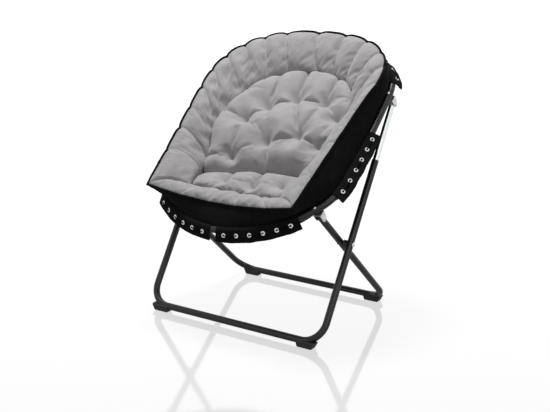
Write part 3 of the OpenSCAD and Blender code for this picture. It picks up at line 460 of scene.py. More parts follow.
RIM_T = np.linspace(-90, 270, 2881)
RIM_POINTS = rim_plan(RIM_T)
RIM_S = np.concatenate([[0], np.cumsum(np.linalg.norm(np.diff(RIM_POINTS, axis=0), axis=1))])
RIM_LEN = RIM_S[-1]
SEAM_S = np.interp(SEAMS, RIM_T, RIM_S)
SEAM_ENDS = np.concatenate([[-40], SEAM_S, [RIM_LEN + 40]])
DEPTH_ENDS = np.concatenate([[.3], SEAM_DEPTH, [.3]])


def rim_t_at(s):
    """Station of the rim at a length round it."""
    return np.interp(s, RIM_S, RIM_T)


def lobe(s):
    """At a length: channel index, share across it, way to the nearest seam and that seam's depth."""
    i = np.clip(np.searchsorted(SEAM_ENDS, s) - 1, 0, len(SEAM_ENDS) - 2)
    a, b = SEAM_ENDS[i], SEAM_ENDS[i + 1]
    phi = (s - a) / (b - a)
    depth = DEPTH_ENDS[i] * (1 - phi) + DEPTH_ENDS[i + 1] * phi
    return i, phi, np.minimum(s - a, b - s), depth


def notch(s):
    """Depth to which the band's seams pull the rim in, at a length."""
    _, _, d, depth = lobe(s)
    return (6.0 * np.exp(-(d / 7.0)) + 2.0 * np.exp(-(d / 22.0) ** 2)) * (0.35 + 0.75 * depth)


def wavy_rim(s):
    """Stations, plain rim points and rim points pulled in by the seams, at lengths."""
    t = rim_t_at(s)
    r = rim(t)
    o = outward(r)
    dn = notch(s)
    p = r - o * (dn * 0.75)[..., None]
    p[..., 2] -= dn * 0.9
    p[..., 2] += 1.4 * noise(np.stack([s / 95.0], -1), 5, 2, 1.0)
    return t, r, p


# The band's crown: swell, lean over the valley, and the depth to which its seams pull the valley's edge
BAND_SWELL, BAND_LEAN, BAND_PULL = 30.0, 6.0, 9.0
PAD_WALL_GAP = 3.0


def band_piece():
    """Padded band round the rim, sewn into channels, with its hold."""
    n_s = 600
    S = np.linspace(1.5, RIM_LEN - 1.5, n_s)
    T, R0, RW = wavy_rim(S)
    O = outward(R0)
    top = RW - O * 2.6
    i, phi, d, depth = lobe(S)
    V = valley(T)
    c = V - top
    ch = c / np.linalg.norm(c, axis=-1, keepdims=True)
    up = np.cross(c, np.cross(c, O))
    up /= np.linalg.norm(up, axis=-1, keepdims=True)
    cross = np.clip(1 - (2 * phi - 1) ** 2, 0, 1) ** 0.42
    rng = np.random.default_rng(11)
    plump = rng.uniform(0.92, 1.12, len(SEAM_ENDS))[i]
    V = V - ch * (BAND_PULL * depth * (1 - cross))[:, None]
    c = V - top
    rows, hold = [], []
    K = np.linspace(0, 1, 34)
    near = np.exp(-(d / 3.2) ** 2) * np.minimum(depth * 1.3, 1)
    for k in K:
        a = math.pi * k
        x = 0.5 - 0.5 * math.cos(a)
        x = 0.45 * k + 0.55 * x
        h = math.sin(a) ** 0.66
        grow = BAND_SWELL * plump * h * (1 - depth * (0.6 + 0.3 * k) * (1 - cross))
        lean = BAND_LEAN * k ** 2 * math.sin(a) ** 0.6 * (0.35 + 0.65 * cross)
        p = top + c * x + up * grow[:, None] + ch * lean[:, None]
        q = np.stack([S / 60.0, np.full_like(S, k * 2.2)], -1)
        fine = noise(np.stack([S / 16.0, np.full_like(S, k * 0.9)], -1), 22, 2, 1.0) * np.exp(-(d / 20.0))
        p = p + up * ((noise(q, 21, 3, 1.0) * 1.6 + fine * 1.3) * h)[:, None]
        rows.append(p)
        hold.append(np.where(np.full_like(S, k) <= 0.001, 1.0, near * 0.9))
    hold[-1] = np.ones(n_s)
    down = V + np.array([0, 0, -1.0]) * 24 + O * 8
    foot = wall_pt(R0, 0.0, PAD_WALL_GAP)
    for p in (V + np.array([0, 0, -1.0]) * 12 + O * 2, down, (down + foot) / 2 - np.array([0, 0, 8.0]), foot,
              wall_pt(R0, 0.35, PAD_WALL_GAP), wall_pt(R0, 0.7, PAD_WALL_GAP)):
        rows.append(p)
        hold.append(np.ones(n_s))
    rows = np.stack(rows, 1)
    verts, faces = tube_grid(to_world(rows))
    o = make_mesh("rim_band_cushion", verts, faces)
    fix_normals(o)
    hold = np.stack(hold, 1).reshape(-1)
    hold = np.concatenate([hold, np.ones(len(verts) - rows.shape[0] * rows.shape[1])])
    ends = np.zeros(rows.shape[:2])
    ends[:2] = ends[-2:] = 1
    hold[:ends.size] = np.maximum(hold[:ends.size], ends.reshape(-1))
    return o, hold


# Tufts and folds of the seat pad, its level along its length, its outline and its swell
SEAT_TUFTS = {"s1": (-66, -204), "s2": (46, -214), "s3": (140, -196)}
SEAT_FOLDS = [((-66, -204), (-72, -130), .9), ((46, -214), (34, -130), 1.0), ((-66, -204), (-84, -256), .4),
              ((46, -214), (30, -258), .4), ((-66, -204), (46, -214), .35), ((46, -214), (140, -196), .3)]
SEAT_BASE_U, SEAT_BASE_N = [-262, -225, -190, -150, -126], [6, -2, -12, -34, -60]
SEAT_FRONT_U, SEAT_BACK_HALF = -259, 205
SEAT_CUP, SEAT_HALF_W, SEAT_SIDE_N, SEAT_RISE_OVER_X = 6, 200, -26, 60
SEAT_SWELL, SEAT_SINK, SEAT_EDGE_DROP = 35.0, 7.0, 10.0
SEAT_TUFT_R, SEAT_FOLD_W, SEAT_FOLD_DEPTH = 24.0, 11.0, 0.85


def seat_base(u):
    """Level of the seat pad along its length."""
    return np.interp(u, SEAT_BASE_U, SEAT_BASE_N)


def seat_pad_piece():
    """Seat pad in front of the crease, with its hold."""
    m, n = 44, 110
    k = np.linspace(-1, 1, n)[None, :]
    w = np.linspace(-1, 1, m)[:, None]
    share = (w + 1) / 2
    side = valley(np.linspace(-44, -89, 40))[:, :2][::-1]
    rear = crease(SEAT_BACK_HALF * k) - 1
    u = SEAT_FRONT_U + (rear - SEAT_FRONT_U) * share
    half = np.interp(u, side[:, 1], side[:, 0]) - 1
    x = half * k
    plan = np.stack([x, u], -1)
    edge = (1 - np.abs(k) ** 10) ** 0.5 * (1 - np.abs(w) ** 6) ** 0.5
    tufts = [np.array(t, float) for t in SEAT_TUFTS.values()]
    h = puffs(x, u, tufts, SEAT_FOLDS, SEAT_TUFT_R, SEAT_FOLD_W, SEAT_FOLD_DEPTH)
    v = np.interp(share, [0, 1], [SEAT_BASE_U[0], SEAT_BASE_U[-1]]) * np.ones_like(u)
    level = seat_base(v) + SEAT_CUP * (np.abs(x) / SEAT_HALF_W) ** 2
    rise = np.clip((np.abs(x) - RISE_FROM_X) / SEAT_RISE_OVER_X, 0, 1) ** 2
    level = level + (np.maximum(level, SEAT_SIDE_N) - level) * rise
    top = level + SEAT_SWELL * h * edge - SEAT_SINK - SEAT_EDGE_DROP * (1 - edge)
    low = np.minimum(sling_level(x, u) + PAD_OVER_SLING, level - SEAT_THICK)
    low = np.minimum(low, top - PAD_LEAST)
    o = closed_pad("seat_cushion", plan, top, low)
    return o, pad_hold(x, u, tufts)


# Seams of the front roll, as shares of its half length, and its crown
ROLL_SEAMS = np.array([-0.56, -0.16, 0.2, 0.62])
ROLL_SWELL, ROLL_LEAN, ROLL_NOTCH = 21.0, 7.0, 3.0


def roll_near(f):
    """Distance to the nearest seam of the front roll, and share across its channel."""
    e = np.concatenate([[-1.25], ROLL_SEAMS, [1.25]])
    i = np.clip(np.searchsorted(e, f) - 1, 0, len(e) - 2)
    return np.minimum(f - e[i], e[i + 1] - f) * 270, (f - e[i]) / (e[i + 1] - e[i])


def roll_piece():
    """Quilted roll over the front of the hoop, with its hold."""
    F = np.linspace(-0.985, 0.985, 170)
    R = front_rim(F)
    d, phi = roll_near(F)
    top = R + np.array([0, 2.6, 0])
    top[:, 2] -= ROLL_NOTCH * np.exp(-d / 9.0)
    Vr = np.stack([172 * F, np.full_like(F, -261.0), 8 + 6 * (1 - F * F)], -1)
    c = Vr - top
    up = np.cross(np.array([1.0, 0, 0]), c)
    up /= np.linalg.norm(up, axis=-1, keepdims=True)
    ch = c / np.linalg.norm(c, axis=-1, keepdims=True)
    cross = np.clip(1 - (2 * phi - 1) ** 2, 0, 1) ** 0.42
    rows, hold = [], []
    for k in np.linspace(0, 1, 22):
        a = math.pi * k
        x = 0.5 * k + 0.5 * (0.5 - 0.5 * math.cos(a))
        h = math.sin(a) ** 0.66
        g = ROLL_SWELL * h * (1 - 0.5 * (1 - cross))
        wr = noise(np.stack([F * 5.0, np.full_like(F, k * 1.5)], -1), 51, 3, 1.0) * 1.5
        rows.append(top + c * x + up * (g + wr * h)[:, None] + ch * (ROLL_LEAN * k * k * h))
        ends = np.full_like(F, 1.0 if k < 0.001 or k > 0.999 else 0.0)
        hold.append(ends + np.exp(-(d / 3.0) ** 2) * 0.8 * (0 < k < 1))
    foot = wall_pt(R, 0.0, PAD_WALL_GAP)
    for p in (Vr - np.array([0, 0, 30.0]), (Vr + foot) / 2 - np.array([0, 0, 34.0]), foot,
              wall_pt(R, 0.35, PAD_WALL_GAP), wall_pt(R, 0.7, PAD_WALL_GAP)):
        rows.append(p)
        hold.append(np.ones_like(F))
    rows = np.stack(rows, 1)
    verts, faces = tube_grid(to_world(rows))
    o = make_mesh("front_roll_cushion", verts, faces)
    fix_normals(o)
    hold = np.stack(hold, 1)
    hold[:2] = hold[-2:] = 1
    hold = np.concatenate([hold.reshape(-1), np.ones(len(verts) - hold.size)])
    return o, hold


PIPING_A, PIPING_B, PIPING_LIFT = 3.4, 4.6, 1.6


def round_tube(path, a, b, size_a, size_b, sides):
    """Rings of an oval tube along a path, with its two half widths along directions a and b."""
    ang = np.linspace(0, 2 * math.pi, sides, endpoint=False)
    across = a[:, None, :] * size_a * np.cos(ang)[None, :, None]
    return path[:, None, :] + across + b[:, None, :] * size_b * np.sin(ang)[None, :, None]


def piping_piece():
    """Piping round the rim, which follows the seams' pull."""
    s = np.linspace(0, RIM_LEN, 900)
    _, _, side = wavy_rim(s)
    f = np.linspace(-1, 1, 260)[1:-1]
    fr = front_rim(f)
    d, _ = roll_near(f)
    fr[:, 2] -= ROLL_NOTCH * np.exp(-d / 9.0)
    path = np.concatenate([side, fr])
    path[:, 2] += PIPING_LIFT
    tan = np.roll(path, -1, 0) - np.roll(path, 1, 0)
    tan /= np.linalg.norm(tan, axis=1, keepdims=True)
    a = np.cross(np.array([0, 0, 1.0]), tan)
    a /= np.linalg.norm(a, axis=1, keepdims=True)
    b = np.cross(tan, a)
    ring = round_tube(path, a, b, PIPING_A, PIPING_B, 12)
    verts, faces = tube_grid(to_world(ring), closed_rows=True)
    o = make_mesh("rim_piping_cord", verts, faces)
    fix_normals(o)
    return o


# Pressure, limit, frames, slack, stiffness and bending of the two ways to fill a cushion
SOFT_FILL = dict(pressure=4.0, frames=12)
BAND_FILL = dict(pressure=2.0, limit=0.012, frames=10, slack=-0.015, stiff=20.0, bend=1.0)


def filled(piece, **fill):
    """A cushion's mesh, blown up as cloth."""
    o, hold = piece
    inflate(o, hold, **fill)
    return o


back = filled(back_pad_piece(), limit=0.03, **SOFT_FILL)
band = filled(band_piece(), **BAND_FILL)
seat = filled(seat_pad_piece(), limit=0.02, **SOFT_FILL)
roll = filled(roll_piece(), **BAND_FILL)
pipe = piping_piece()
padding = ((back, "back_pad"), (band, "rim_bolster"), (seat, "seat_pad"), (roll, "front_roll"),
           (pipe, "rim_piping"))
for o, node in padding:
    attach(o, "seat")
    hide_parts(node)


# Cloth's thickness, hoop tube's radius, eyelets' place and radii, and a flap's length
FABRIC, HOOP_R, EYELET_AT, EYELET_R, HOLE_R, FLAP_LEN = 2.0, 11.0, 11.0, 7.0, 3.9, 34.0
LACE_R, EYELET_T, LACE_LIFT = 1.5, 0.8, 0.4
LACE_TAIL, LACE_CORNER, LACE_ASIDE, LACE_SAG = 12.0, 1.5, 2.0, 0.5


def sheet_shell(name, top, under, keep=None):
    """Cloth with two faces from grids of points; cells left out by keep are holes through both."""
    m, n = top.shape[:2]
    keep = np.ones((m - 1, n - 1), bool) if keep is None else keep
    faces, count = [], {}
    for j in range(m - 1):
        for i in range(n - 1):
            if not keep[j, i]:
                continue
            a = j * n + i
            q = (a, a + 1, a + n + 1, a + n)
            faces.append(q)
            faces.append(tuple(v + m * n for v in q[::-1]))
            for e in range(4):
                k = (q[e], q[(e + 1) % 4])
                if (k[1], k[0]) in count:
                    count[(k[1], k[0])] = 0
                else:
                    count[k] = 1
    for (a, b), open_edge in count.items():
        if open_edge:
            faces.append((a, a + m * n, b + m * n, b))
    verts = np.concatenate([top.reshape(-1, 3), under.reshape(-1, 3)])
    used = sorted({v for f in faces for v in f})
    order = {v: q for q, v in enumerate(used)}
    faces = [tuple(order[v] for v in f) for f in faces]
    o = make_mesh(name, to_world(verts[used]), faces)
    fix_normals(o)
    return o


def wall_panel(name, R, seed):
    """Panel of the cover between the hoop and the rim, with a little slack in it."""
    v = np.linspace(0, 1, 15)
    out = np.stack([wall_pt(R, k, 0.0) for k in v], 1)
    inner = np.stack([wall_pt(R, k, FABRIC) for k in v], 1)
    at = np.cumsum(np.concatenate([[0], np.linalg.norm(np.diff(R, axis=0), axis=1)]))
    q = np.stack([np.repeat(at[:, None], len(v), 1) / 70, np.repeat(v[None, :], len(R), 0) * 1.6], -1)
    slack = np.sin(np.pi * v)[None, :] * (noise(q, seed, 3, 1.0) * 1.3 - 0.5)
    seam = -0.8 * np.exp(-((v - 0.93) / 0.03) ** 2)[None, :]
    push = outward(R)[:, None, :] * (slack + seam)[..., None]
    o = sheet_shell(name, out + push, inner + push)
    return o


# Station at which a side panel meets the back panel, and the panels' rims, nodes and seeds
T_SIDE = 40.0
panels = {
    "cover_panel_front": (front_rim(np.linspace(1, -1, 150)), ["cover_front_wall"], 71),
    "cover_panel_right": (rim(np.linspace(-90, T_SIDE, 220)), ["cover_side_wall_right"], 72),
    "cover_panel_left": (rim(np.linspace(180 - T_SIDE, 270, 220)), ["cover_side_wall_left"], 73),
    "cover_panel_back": (rim(np.linspace(T_SIDE, 180 - T_SIDE, 220)), ["cover_back_wall"], 74),
}
for name, (R, nodes, seed) in panels.items():
    panels[name] = (wall_panel(name, R, seed), nodes)

# The hoop's centre line by length from the front middle, with its outward direction
HOOP_A = np.linspace(-math.pi / 2, math.pi / 2, 4001)
HOOP_P = hoop_toward(HOOP_A)
HOOP_S = np.concatenate([[0], np.cumsum(np.linalg.norm(np.diff(HOOP_P, axis=0), axis=1))])
HOOP_ALONG = np.gradient(HOOP_P, axis=0)
HOOP_ALONG /= np.linalg.norm(HOOP_ALONG, axis=1, keepdims=True)
HOOP_OUT = np.stack([HOOP_ALONG[:, 1], -HOOP_ALONG[:, 0]], -1)


def hoop_point(s):
    """Right half of the hoop's centre line and its outward direction at lengths s."""
    p = np.stack([np.interp(s, HOOP_S, HOOP_P[:, i]) for i in (0, 1)], -1)
    o = np.stack([np.interp(s, HOOP_S, HOOP_OUT[:, i]) for i in (0, 1)], -1)
    return p, o / np.linalg.norm(o, axis=-1, keepdims=True)


def flap_pt(s, hang, x, z, side):
    """Point of a flap: x from the tube's axis to the free edge, z out of its face."""
    p, o = hoop_point(s)
    r = x * math.cos(hang) + z * math.sin(hang)
    h = z * math.cos(hang) - x * math.sin(hang)
    q = p + o * r[..., None]
    return np.stack([q[..., 0] * side, q[..., 1], h], -1)


# The sling's ends, its wave, and its outline inside the hoop
SLING_FRONT, SLING_BACK, SLING_WAVE = -373.4, 421.4, 1.6
INNER = HOOP_P - HOOP_OUT * SLING_IN


def sling_piece():
    """Sling laced inside the hoop, with a little wave in it."""
    share = 0.5 - 0.5 * np.cos(np.linspace(0.12, math.pi - 0.12, 110))
    u = SLING_FRONT + (SLING_BACK - SLING_FRONT) * share
    order = np.argsort(INNER[:, 1])
    w = np.interp(u, INNER[order, 1], INNER[order, 0])
    k = np.sin(np.linspace(-math.pi / 2, math.pi / 2, 110))
    x, u = w[:, None] * k[None, :], np.repeat(u[:, None], 110, 1)
    n = sling_level(x, u)
    wave = noise(np.stack([x / 120, u / 120], -1), 91, 3, 1.0) * SLING_WAVE * (1 - k[None, :] ** 8)
    top = np.stack([x, u, n + wave], -1)
    o = sheet_shell("bowl_sling", top, top - np.array([0, 0, FABRIC]))
    return o


# Each flap: start and end round the hoop, inset of its end eyelets, their count, and its lean in degrees
FLAPS = {"front": (11.0, 273.6, 27.6, 6, 50), "side": (396.2, 647.8, 24.0, 6, 30),
         "back": (857.2, 1229.1, 28.0, 8, 62)}
FLAP_STEP, HEM_FOLD_SHARE, STITCH_DEPTH, STITCH_HALF_W, EDGE_STITCH = 1.7, 0.62, 0.45, 0.9, 29.5


def flap_piece(name, f, side, seed):
    """Flap of the cover: a sleeve round the hoop's tube and a strip whose free edge is turned under."""
    s0, s1, inset, count, hang = f
    hang = math.radians(hang)
    spots = s0 + inset + (s1 - s0 - 2 * inset) * np.arange(count) / (count - 1)
    m = int((s1 - s0) / FLAP_STEP)
    s = np.linspace(s0, s1, m)
    mid = HOOP_R + FABRIC / 2
    turn = np.radians(np.linspace(4, -270, 30))
    line = [(mid * math.cos(a), mid * math.sin(a), math.cos(a), math.sin(a)) for a in turn]
    xs = np.arange(1.7, FLAP_LEN - 1.4, 1.4)
    line += [(x, mid, 0, 1) for x in xs]
    fold = np.radians(np.linspace(75, -75, 6))
    r = FABRIC * HEM_FOLD_SHARE
    end = FLAP_LEN - r - FABRIC / 2
    line = [q for q in line if q[0] < end or q[1] < mid - 0.01]
    line += [(end + r * math.cos(a), mid - r + r * math.sin(a), math.cos(a), math.sin(a)) for a in fold]
    hem = EYELET_AT + EYELET_R + 1
    line += [(x, mid - 2 * r, 0, -1) for x in np.arange(end, hem, -1.6)]
    line = np.array(line)
    X = np.broadcast_to(line[:, 0], (m, len(line))).copy()
    Z = np.broadcast_to(line[:, 1], (m, len(line))).copy()
    NX, NZ = line[:, 2][None, :], line[:, 3][None, :]
    S = np.repeat(s[:, None], len(line), 1)
    strip = np.clip((X - 4) / (FLAP_LEN - 4), 0, 1) * (Z > 0)
    near = np.exp(-(np.min(np.abs(s[:, None] - spots[None, :]), axis=1) / 16) ** 2)[:, None]
    edge = noise(np.stack([s / 60], -1), seed, 3, 1.0)[:, None]
    lift = noise(np.stack([s / 85], -1), seed + 5, 3, 1.0)[:, None]
    X = X + strip ** 2 * (edge * 0.9 - 0.7 + 0.7 * near)
    Z = Z + strip ** 1.5 * (lift * 1.7 - 0.9 * near)
    stitch = -STITCH_DEPTH * np.exp(-((line[:, 0] - hem - 2.5) / STITCH_HALF_W) ** 2)
    stitch = stitch - STITCH_DEPTH * np.exp(-((line[:, 0] - EDGE_STITCH) / STITCH_HALF_W) ** 2)
    stitch = np.where(line[:, 3] == 1, stitch, 0)[None, :] * (line[:, 1] > 0)[None, :]
    half = FABRIC / 2
    keep = np.ones((m - 1, len(line) - 1), bool)
    for c in spots:
        d = np.hypot(S - c, X - EYELET_AT)
        inside = (d < HOLE_R + 0.9) & (np.abs(Z - mid) < 4) & (NZ == 1)
        cell = inside[:-1, :-1] & inside[1:, :-1] & inside[:-1, 1:] & inside[1:, 1:]
        keep &= ~cell
        gain = np.where(inside & (d > 0.3), HOLE_R / np.maximum(d, 0.3), 1.0)
        S = np.where(inside, c + (S - c) * gain, S)
        X = np.where(inside, EYELET_AT + (X - EYELET_AT) * gain, X)
    top = flap_pt(S, hang, X + NX * (half + stitch), Z + NZ * (half + stitch), side)
    low = flap_pt(S, hang, X - NX * half, Z - NZ * half, side)
    o = sheet_shell(name, top, low, keep)
    return o


OVER = FABRIC + EYELET_T + LACE_LIFT + LACE_R
UNDER = -FABRIC - LACE_LIFT - LACE_R


def eased(stops, i, k):
    """Point at share k of the way from stop i to the next, on a smooth curve through them."""
    p0, p1, p2, p3 = (stops[max(i - 1, 0)], stops[i], stops[i + 1], stops[min(i + 2, len(stops) - 1)])
    reach = min(np.linalg.norm(p2 - p1), 3.0) / max(np.linalg.norm(p2 - p1), 1e-9)
    point = (2 * k ** 3 - 3 * k ** 2 + 1) * p1 + (k ** 3 - 2 * k ** 2 + k) * (p2 - p0) / 2 * reach
    return point + (-2 * k ** 3 + 3 * k ** 2) * p2 + (k ** 3 - k ** 2) * (p3 - p1) / 2 * reach


def lace_piece(name, f, side):
    """Cord of one flap: up through an eyelet, along the face, down through the next, and on behind."""
    s0, s1, inset, count, hang = f
    hang = math.radians(hang)
    spots = s0 + inset + (s1 - s0 - 2 * inset) * np.arange(count) / (count - 1)
    stops = [(spots[0] - LACE_TAIL, LACE_ASIDE, UNDER)]
    for i, c in enumerate(spots):
        a, b = (UNDER, OVER) if i % 2 == 0 else (OVER, UNDER)
        aside_a, aside_b = (LACE_ASIDE, 0.0) if i % 2 == 0 else (0.0, LACE_ASIDE)
        way = LACE_CORNER if i % 2 == 0 else -LACE_CORNER
        stops += [(c - LACE_CORNER, aside_a, a), (c, 0.0, a + way)]
        stops += [(c, 0.0, b - way), (c + LACE_CORNER, aside_b, b)]
        if i < count - 1:
            gap = spots[i + 1] - c
            sag = LACE_SAG if i % 2 == 0 else 0.0
            stops += [(c + gap * k, aside_b + sag, b) for k in (0.3, 0.5, 0.7)]
    last = (UNDER, LACE_ASIDE) if count % 2 == 0 else (OVER, 0.0)
    stops += [(spots[-1] + LACE_TAIL, last[1], last[0])]
    stops = np.array(stops)
    fine = []
    for i in range(len(stops) - 1):
        steps = max(3, int(np.linalg.norm(stops[i + 1] - stops[i]) / 1.2))
        fine += [eased(stops, i, k) for k in np.arange(steps) / steps]
    fine = np.array(fine + [stops[-1]])
    path = flap_pt(fine[:, 0], hang, EYELET_AT + fine[:, 1], HOOP_R + fine[:, 2], side)
    tan = np.gradient(path, axis=0)
    tan /= np.linalg.norm(tan, axis=1, keepdims=True)
    _, o2 = hoop_point(fine[:, 0])
    drop = np.full(len(o2), -math.sin(hang))
    e = np.stack([o2[:, 0] * side * math.cos(hang), o2[:, 1] * math.cos(hang), drop], -1)
    a = np.cross(tan, e)
    a /= np.linalg.norm(a, axis=1, keepdims=True)
    b = np.cross(tan, a)
    verts, faces = tube_grid(to_world(round_tube(path, a, b, LACE_R, LACE_R, 10)))
    o = make_mesh(name, verts, faces)
    fix_normals(o)
    return o


sling = sling_piece()
flaps, laces = [], []
for kind, f in FLAPS.items():
    for word, side in (("right", 1), ("left", -1)):
        seed = 31 + 7 * len(flaps)
        flaps.append((flap_piece(f"cover_flap_{kind}_{word}", f, side, seed), f"flap_{kind}_{word}"))
        laces.append(lace_piece(f"lace_{kind}_{word}", f, side))
bpy.ops.object.select_all(action="DESELECT")
for o in laces:
    o.select_set(True)
bpy.context.view_layer.objects.active = laces[0]
bpy.ops.object.join()
lace = bpy.context.view_layer.objects.active
lace.name = "flap_laces"
cloth = [o for o, _ in panels.values()] + [sling] + [o for o, _ in flaps]
for o, nodes in list(panels.values()) + [(sling, ["seat_sling"])] + [(o, [n]) for o, n in flaps]:
    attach(o, "seat")
    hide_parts(*nodes)
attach(lace, "seat")
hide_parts("lacing_cords")


# Materials
def principled(name, base, rough, metal=0.0, **kw):
    """Material with a principled shader, its nodes and that shader."""
    m = bpy.data.materials.new(name)
    m.use_nodes = True
    b = m.node_tree.nodes["Principled BSDF"]
    b.inputs["Base Color"].default_value = (*base, 1)
    b.inputs["Roughness"].default_value = rough
    b.inputs["Metallic"].default_value = metal
    for k, v in kw.items():
        b.inputs[k.replace("_", " ")].default_value = v
    return m, m.node_tree, b


def bump_noise(nt, b, scale, strength, distance, detail=3.0):
    """Fine grain on a material, and its coordinate node."""
    tc = nt.nodes.new("ShaderNodeTexCoord")
    nz = nt.nodes.new("ShaderNodeTexNoise")
    nz.inputs["Scale"].default_value = scale
    nz.inputs["Detail"].default_value = detail
    bp = nt.nodes.new("ShaderNodeBump")
    bp.inputs["Strength"].default_value = strength
    bp.inputs["Distance"].default_value = distance
    nt.links.new(tc.outputs["Object"], nz.inputs["Vector"])
    nt.links.new(nz.outputs["Fac"], bp.inputs["Height"])
    nt.links.new(bp.outputs["Normal"], b.inputs["Normal"])
    return tc, nz, bp


def mottled(nt, b, tc, low, high, scale, detail=4.0):
    """Base colour that wanders between two near tones."""
    nz = nt.nodes.new("ShaderNodeTexNoise")
    nz.inputs["Scale"].default_value = scale
    nz.inputs["Detail"].default_value = detail
    ramp = nt.nodes.new("ShaderNodeValToRGB")
    ramp.color_ramp.elements[0].position = 0.3
    ramp.color_ramp.elements[0].color = (*low, 1)
    ramp.color_ramp.elements[1].position = 0.7
    ramp.color_ramp.elements[1].color = (*high, 1)
    nt.links.new(tc.outputs["Object"], nz.inputs["Vector"])
    nt.links.new(nz.outputs["Fac"], ramp.inputs["Fac"])
    nt.links.new(ramp.outputs["Color"], b.inputs["Base Color"])


PLUSH, nt, bs = principled("plush", (0.40, 0.39, 0.39), 0.95)
bs.inputs["Sheen Weight"].default_value = 0.35
bs.inputs["Sheen Roughness"].default_value = 0.5
bs.inputs["Specular IOR Level"].default_value = 0.15
tc, _, _ = bump_noise(nt, bs, 420.0, 0.35, 0.0012, 2.0)
mottled(nt, bs, tc, (0.355, 0.345, 0.347), (0.415, 0.404, 0.406), 26.0)

COVER, nt, bs = principled("cover_cloth", (0.006, 0.006, 0.0062), 0.9)
bs.inputs["Specular IOR Level"].default_value = 0.08
tc, _, _ = bump_noise(nt, bs, 900.0, 0.3, 0.0006, 2.0)
mottled(nt, bs, tc, (0.0045, 0.0045, 0.0047), (0.0085, 0.0085, 0.0088), 40.0)

LACE, nt, bs = principled("lace_cord", (0.003, 0.003, 0.003), 0.95, Specular_IOR_Level=0.05)
bump_noise(nt, bs, 1500.0, 0.3, 0.0004, 1.0)

ENAMEL, nt, bs = principled("enamel", (0.007, 0.0072, 0.008), 0.36)
bs.inputs["Specular IOR Level"].default_value = 0.4
bump_noise(nt, bs, 260.0, 0.06, 0.0004, 2.0)

CHROME, nt, bs = principled("chrome_tube", (0.78, 0.82, 0.80), 0.16, 1.0)
bump_noise(nt, bs, 300.0, 0.03, 0.0002, 2.0)

ZINC, nt, bs = principled("zinc", (0.70, 0.71, 0.72), 0.32, 1.0)
bump_noise(nt, bs, 350.0, 0.08, 0.0003, 2.0)

EYELET, nt, bs = principled("eyelet_metal", (0.6, 0.61, 0.62), 0.3, 1.0)
bump_noise(nt, bs, 500.0, 0.04, 0.0002, 1.0)

PLASTIC, nt, bs = principled("black_plastic", (0.004, 0.004, 0.0042), 0.6)
bump_noise(nt, bs, 700.0, 0.12, 0.0003, 2.0)

SLOT_MATERIAL = {"enamel": ENAMEL, "chrome_tube": CHROME, "zinc": ZINC, "black_plastic": PLASTIC,
                 "cushion": PLUSH, "cover": COVER, "piping": COVER, "eyelet": EYELET, "lace": LACE}
for sp in frame["record"]["subparts"]:
    o = NODES[sp["node"]]
    o.data.materials.clear()
    o.data.materials.append(SLOT_MATERIAL[sp["material_slot"]])
dressed = [(band, PLUSH), (back, PLUSH), (seat, PLUSH), (roll, PLUSH), (pipe, COVER), (lace, LACE)]
for o, m in dressed + [(o, COVER) for o in cloth]:
    o.data.materials.clear()
    o.data.materials.append(m)

# Floor, light, camera: lamps by place, side in metres and power in watts
FLOOR_GREY, FLOOR_ROUGH, FLOOR_IOR = 0.14, 0.07, 2.2
FLOOR_GLOW, MIRRORED_SHARE = 0.67, 0.5
WORLD_LEVEL = 0.26
KEY_PLACE, KEY_SIDE, KEY_W = (-0.5, 0.25, 3.6), 0.9, 92
FILL_PLACE, FILL_SIDE, FILL_W = (2.6, -1.8, 2.0), 1.2, 12
LAMPS_AT = (0, 0, 0.5)
bpy.ops.mesh.primitive_plane_add(size=40, location=(0, 0, 0))
floor = bpy.context.object
floor.name = "floor"
fm, nt, bs = principled("floor_paint", (FLOOR_GREY,) * 3, FLOOR_ROUGH)
bs.inputs["IOR"].default_value = FLOOR_IOR
path = nt.nodes.new("ShaderNodeLightPath")
glow = nt.nodes.new("ShaderNodeMath")
glow.operation = "MULTIPLY"
glow.inputs[1].default_value = FLOOR_GLOW
mirrored = nt.nodes.new("ShaderNodeMath")
mirrored.operation = "MULTIPLY"
mirrored.inputs[1].default_value = MIRRORED_SHARE
either = nt.nodes.new("ShaderNodeMath")
either.operation = "MAXIMUM"
nt.links.new(path.outputs["Is Glossy Ray"], mirrored.inputs[0])
nt.links.new(path.outputs["Is Camera Ray"], either.inputs[0])
nt.links.new(mirrored.outputs["Value"], either.inputs[1])
nt.links.new(either.outputs["Value"], glow.inputs[0])
bs.inputs["Emission Color"].default_value = (1, 1, 1, 1)
nt.links.new(glow.outputs["Value"], bs.inputs["Emission Strength"])
floor.data.materials.append(fm)

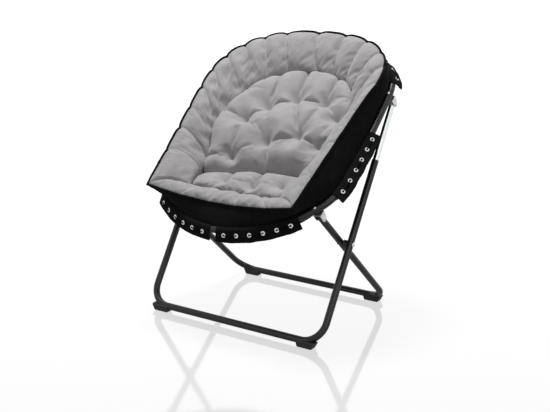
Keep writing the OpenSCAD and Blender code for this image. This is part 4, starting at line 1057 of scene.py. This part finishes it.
world = bpy.data.worlds.new("studio")
bpy.context.scene.world = world
world.use_nodes = True
wn = world.node_tree
bg = wn.nodes["Background"]
bg.inputs["Color"].default_value = (1, 1, 1, 1)
wp = wn.nodes.new("ShaderNodeLightPath")
seen = wn.nodes.new("ShaderNodeMath")
seen.operation = "MAXIMUM"
seen2 = wn.nodes.new("ShaderNodeMath")
seen2.operation = "MAXIMUM"
level = wn.nodes.new("ShaderNodeMapRange")
level.inputs["To Min"].default_value = WORLD_LEVEL
level.inputs["To Max"].default_value = 1.0
wn.links.new(wp.outputs["Is Camera Ray"], seen.inputs[0])
wn.links.new(wp.outputs["Is Transmission Ray"], seen.inputs[1])
wn.links.new(seen.outputs["Value"], seen2.inputs[0])
wn.links.new(wp.outputs["Is Glossy Ray"], seen2.inputs[1])
wn.links.new(seen2.outputs["Value"], level.inputs["Value"])
wn.links.new(level.outputs["Result"], bg.inputs["Strength"])


def lamp(name, loc, target, size, power):
    """Square lamp at a place, turned to a target, with its side in metres and its power in watts."""
    l = bpy.data.lights.new(name, "AREA")
    l.shape = "RECTANGLE"
    l.size, l.size_y = size, size
    l.energy = power
    o = bpy.data.objects.new(name, l)
    bpy.context.scene.collection.objects.link(o)
    o.location = loc
    d = Vector(target) - Vector(loc)
    o.rotation_euler = d.to_track_quat("-Z", "Y").to_euler()


lamp("key", KEY_PLACE, LAMPS_AT, KEY_SIDE, KEY_W)
lamp("fill", FILL_PLACE, LAMPS_AT, FILL_SIDE, FILL_W)

# Camera as solved from the photo, and how far the solve's frame lies from the part's along Y
FOCAL_PX, PHOTO_W_PX, SENSOR_MM = 977.521, 550, 36
CAM_RIGHT, CAM_LOOK = (0.8286, 0.5598, 0.0), (-0.5416, 0.8016, -0.2530)
CAM_PLACE, FRAME_SHIFT = (1.728901, -2.479804, 1.150423), 0.0907
cam_data = bpy.data.cameras.new("camera")
cam = bpy.data.objects.new("camera", cam_data)
bpy.context.scene.collection.objects.link(cam)
cam_data.sensor_width = SENSOR_MM
cam_data.lens = FOCAL_PX / PHOTO_W_PX * SENSOR_MM
right = Vector(CAM_RIGHT).normalized()
look = Vector(CAM_LOOK).normalized()
upv = right.cross(look).normalized()
right = look.cross(upv).normalized()
m = Matrix((right, upv, -look)).transposed().to_4x4()
m.translation = Vector((CAM_PLACE[0], CAM_PLACE[1] - FRAME_SHIFT, CAM_PLACE[2]))
cam.matrix_world = m
cam_data.clip_end = 100
bpy.context.scene.camera = cam
bpy.context.scene.view_settings.view_transform = "Standard"
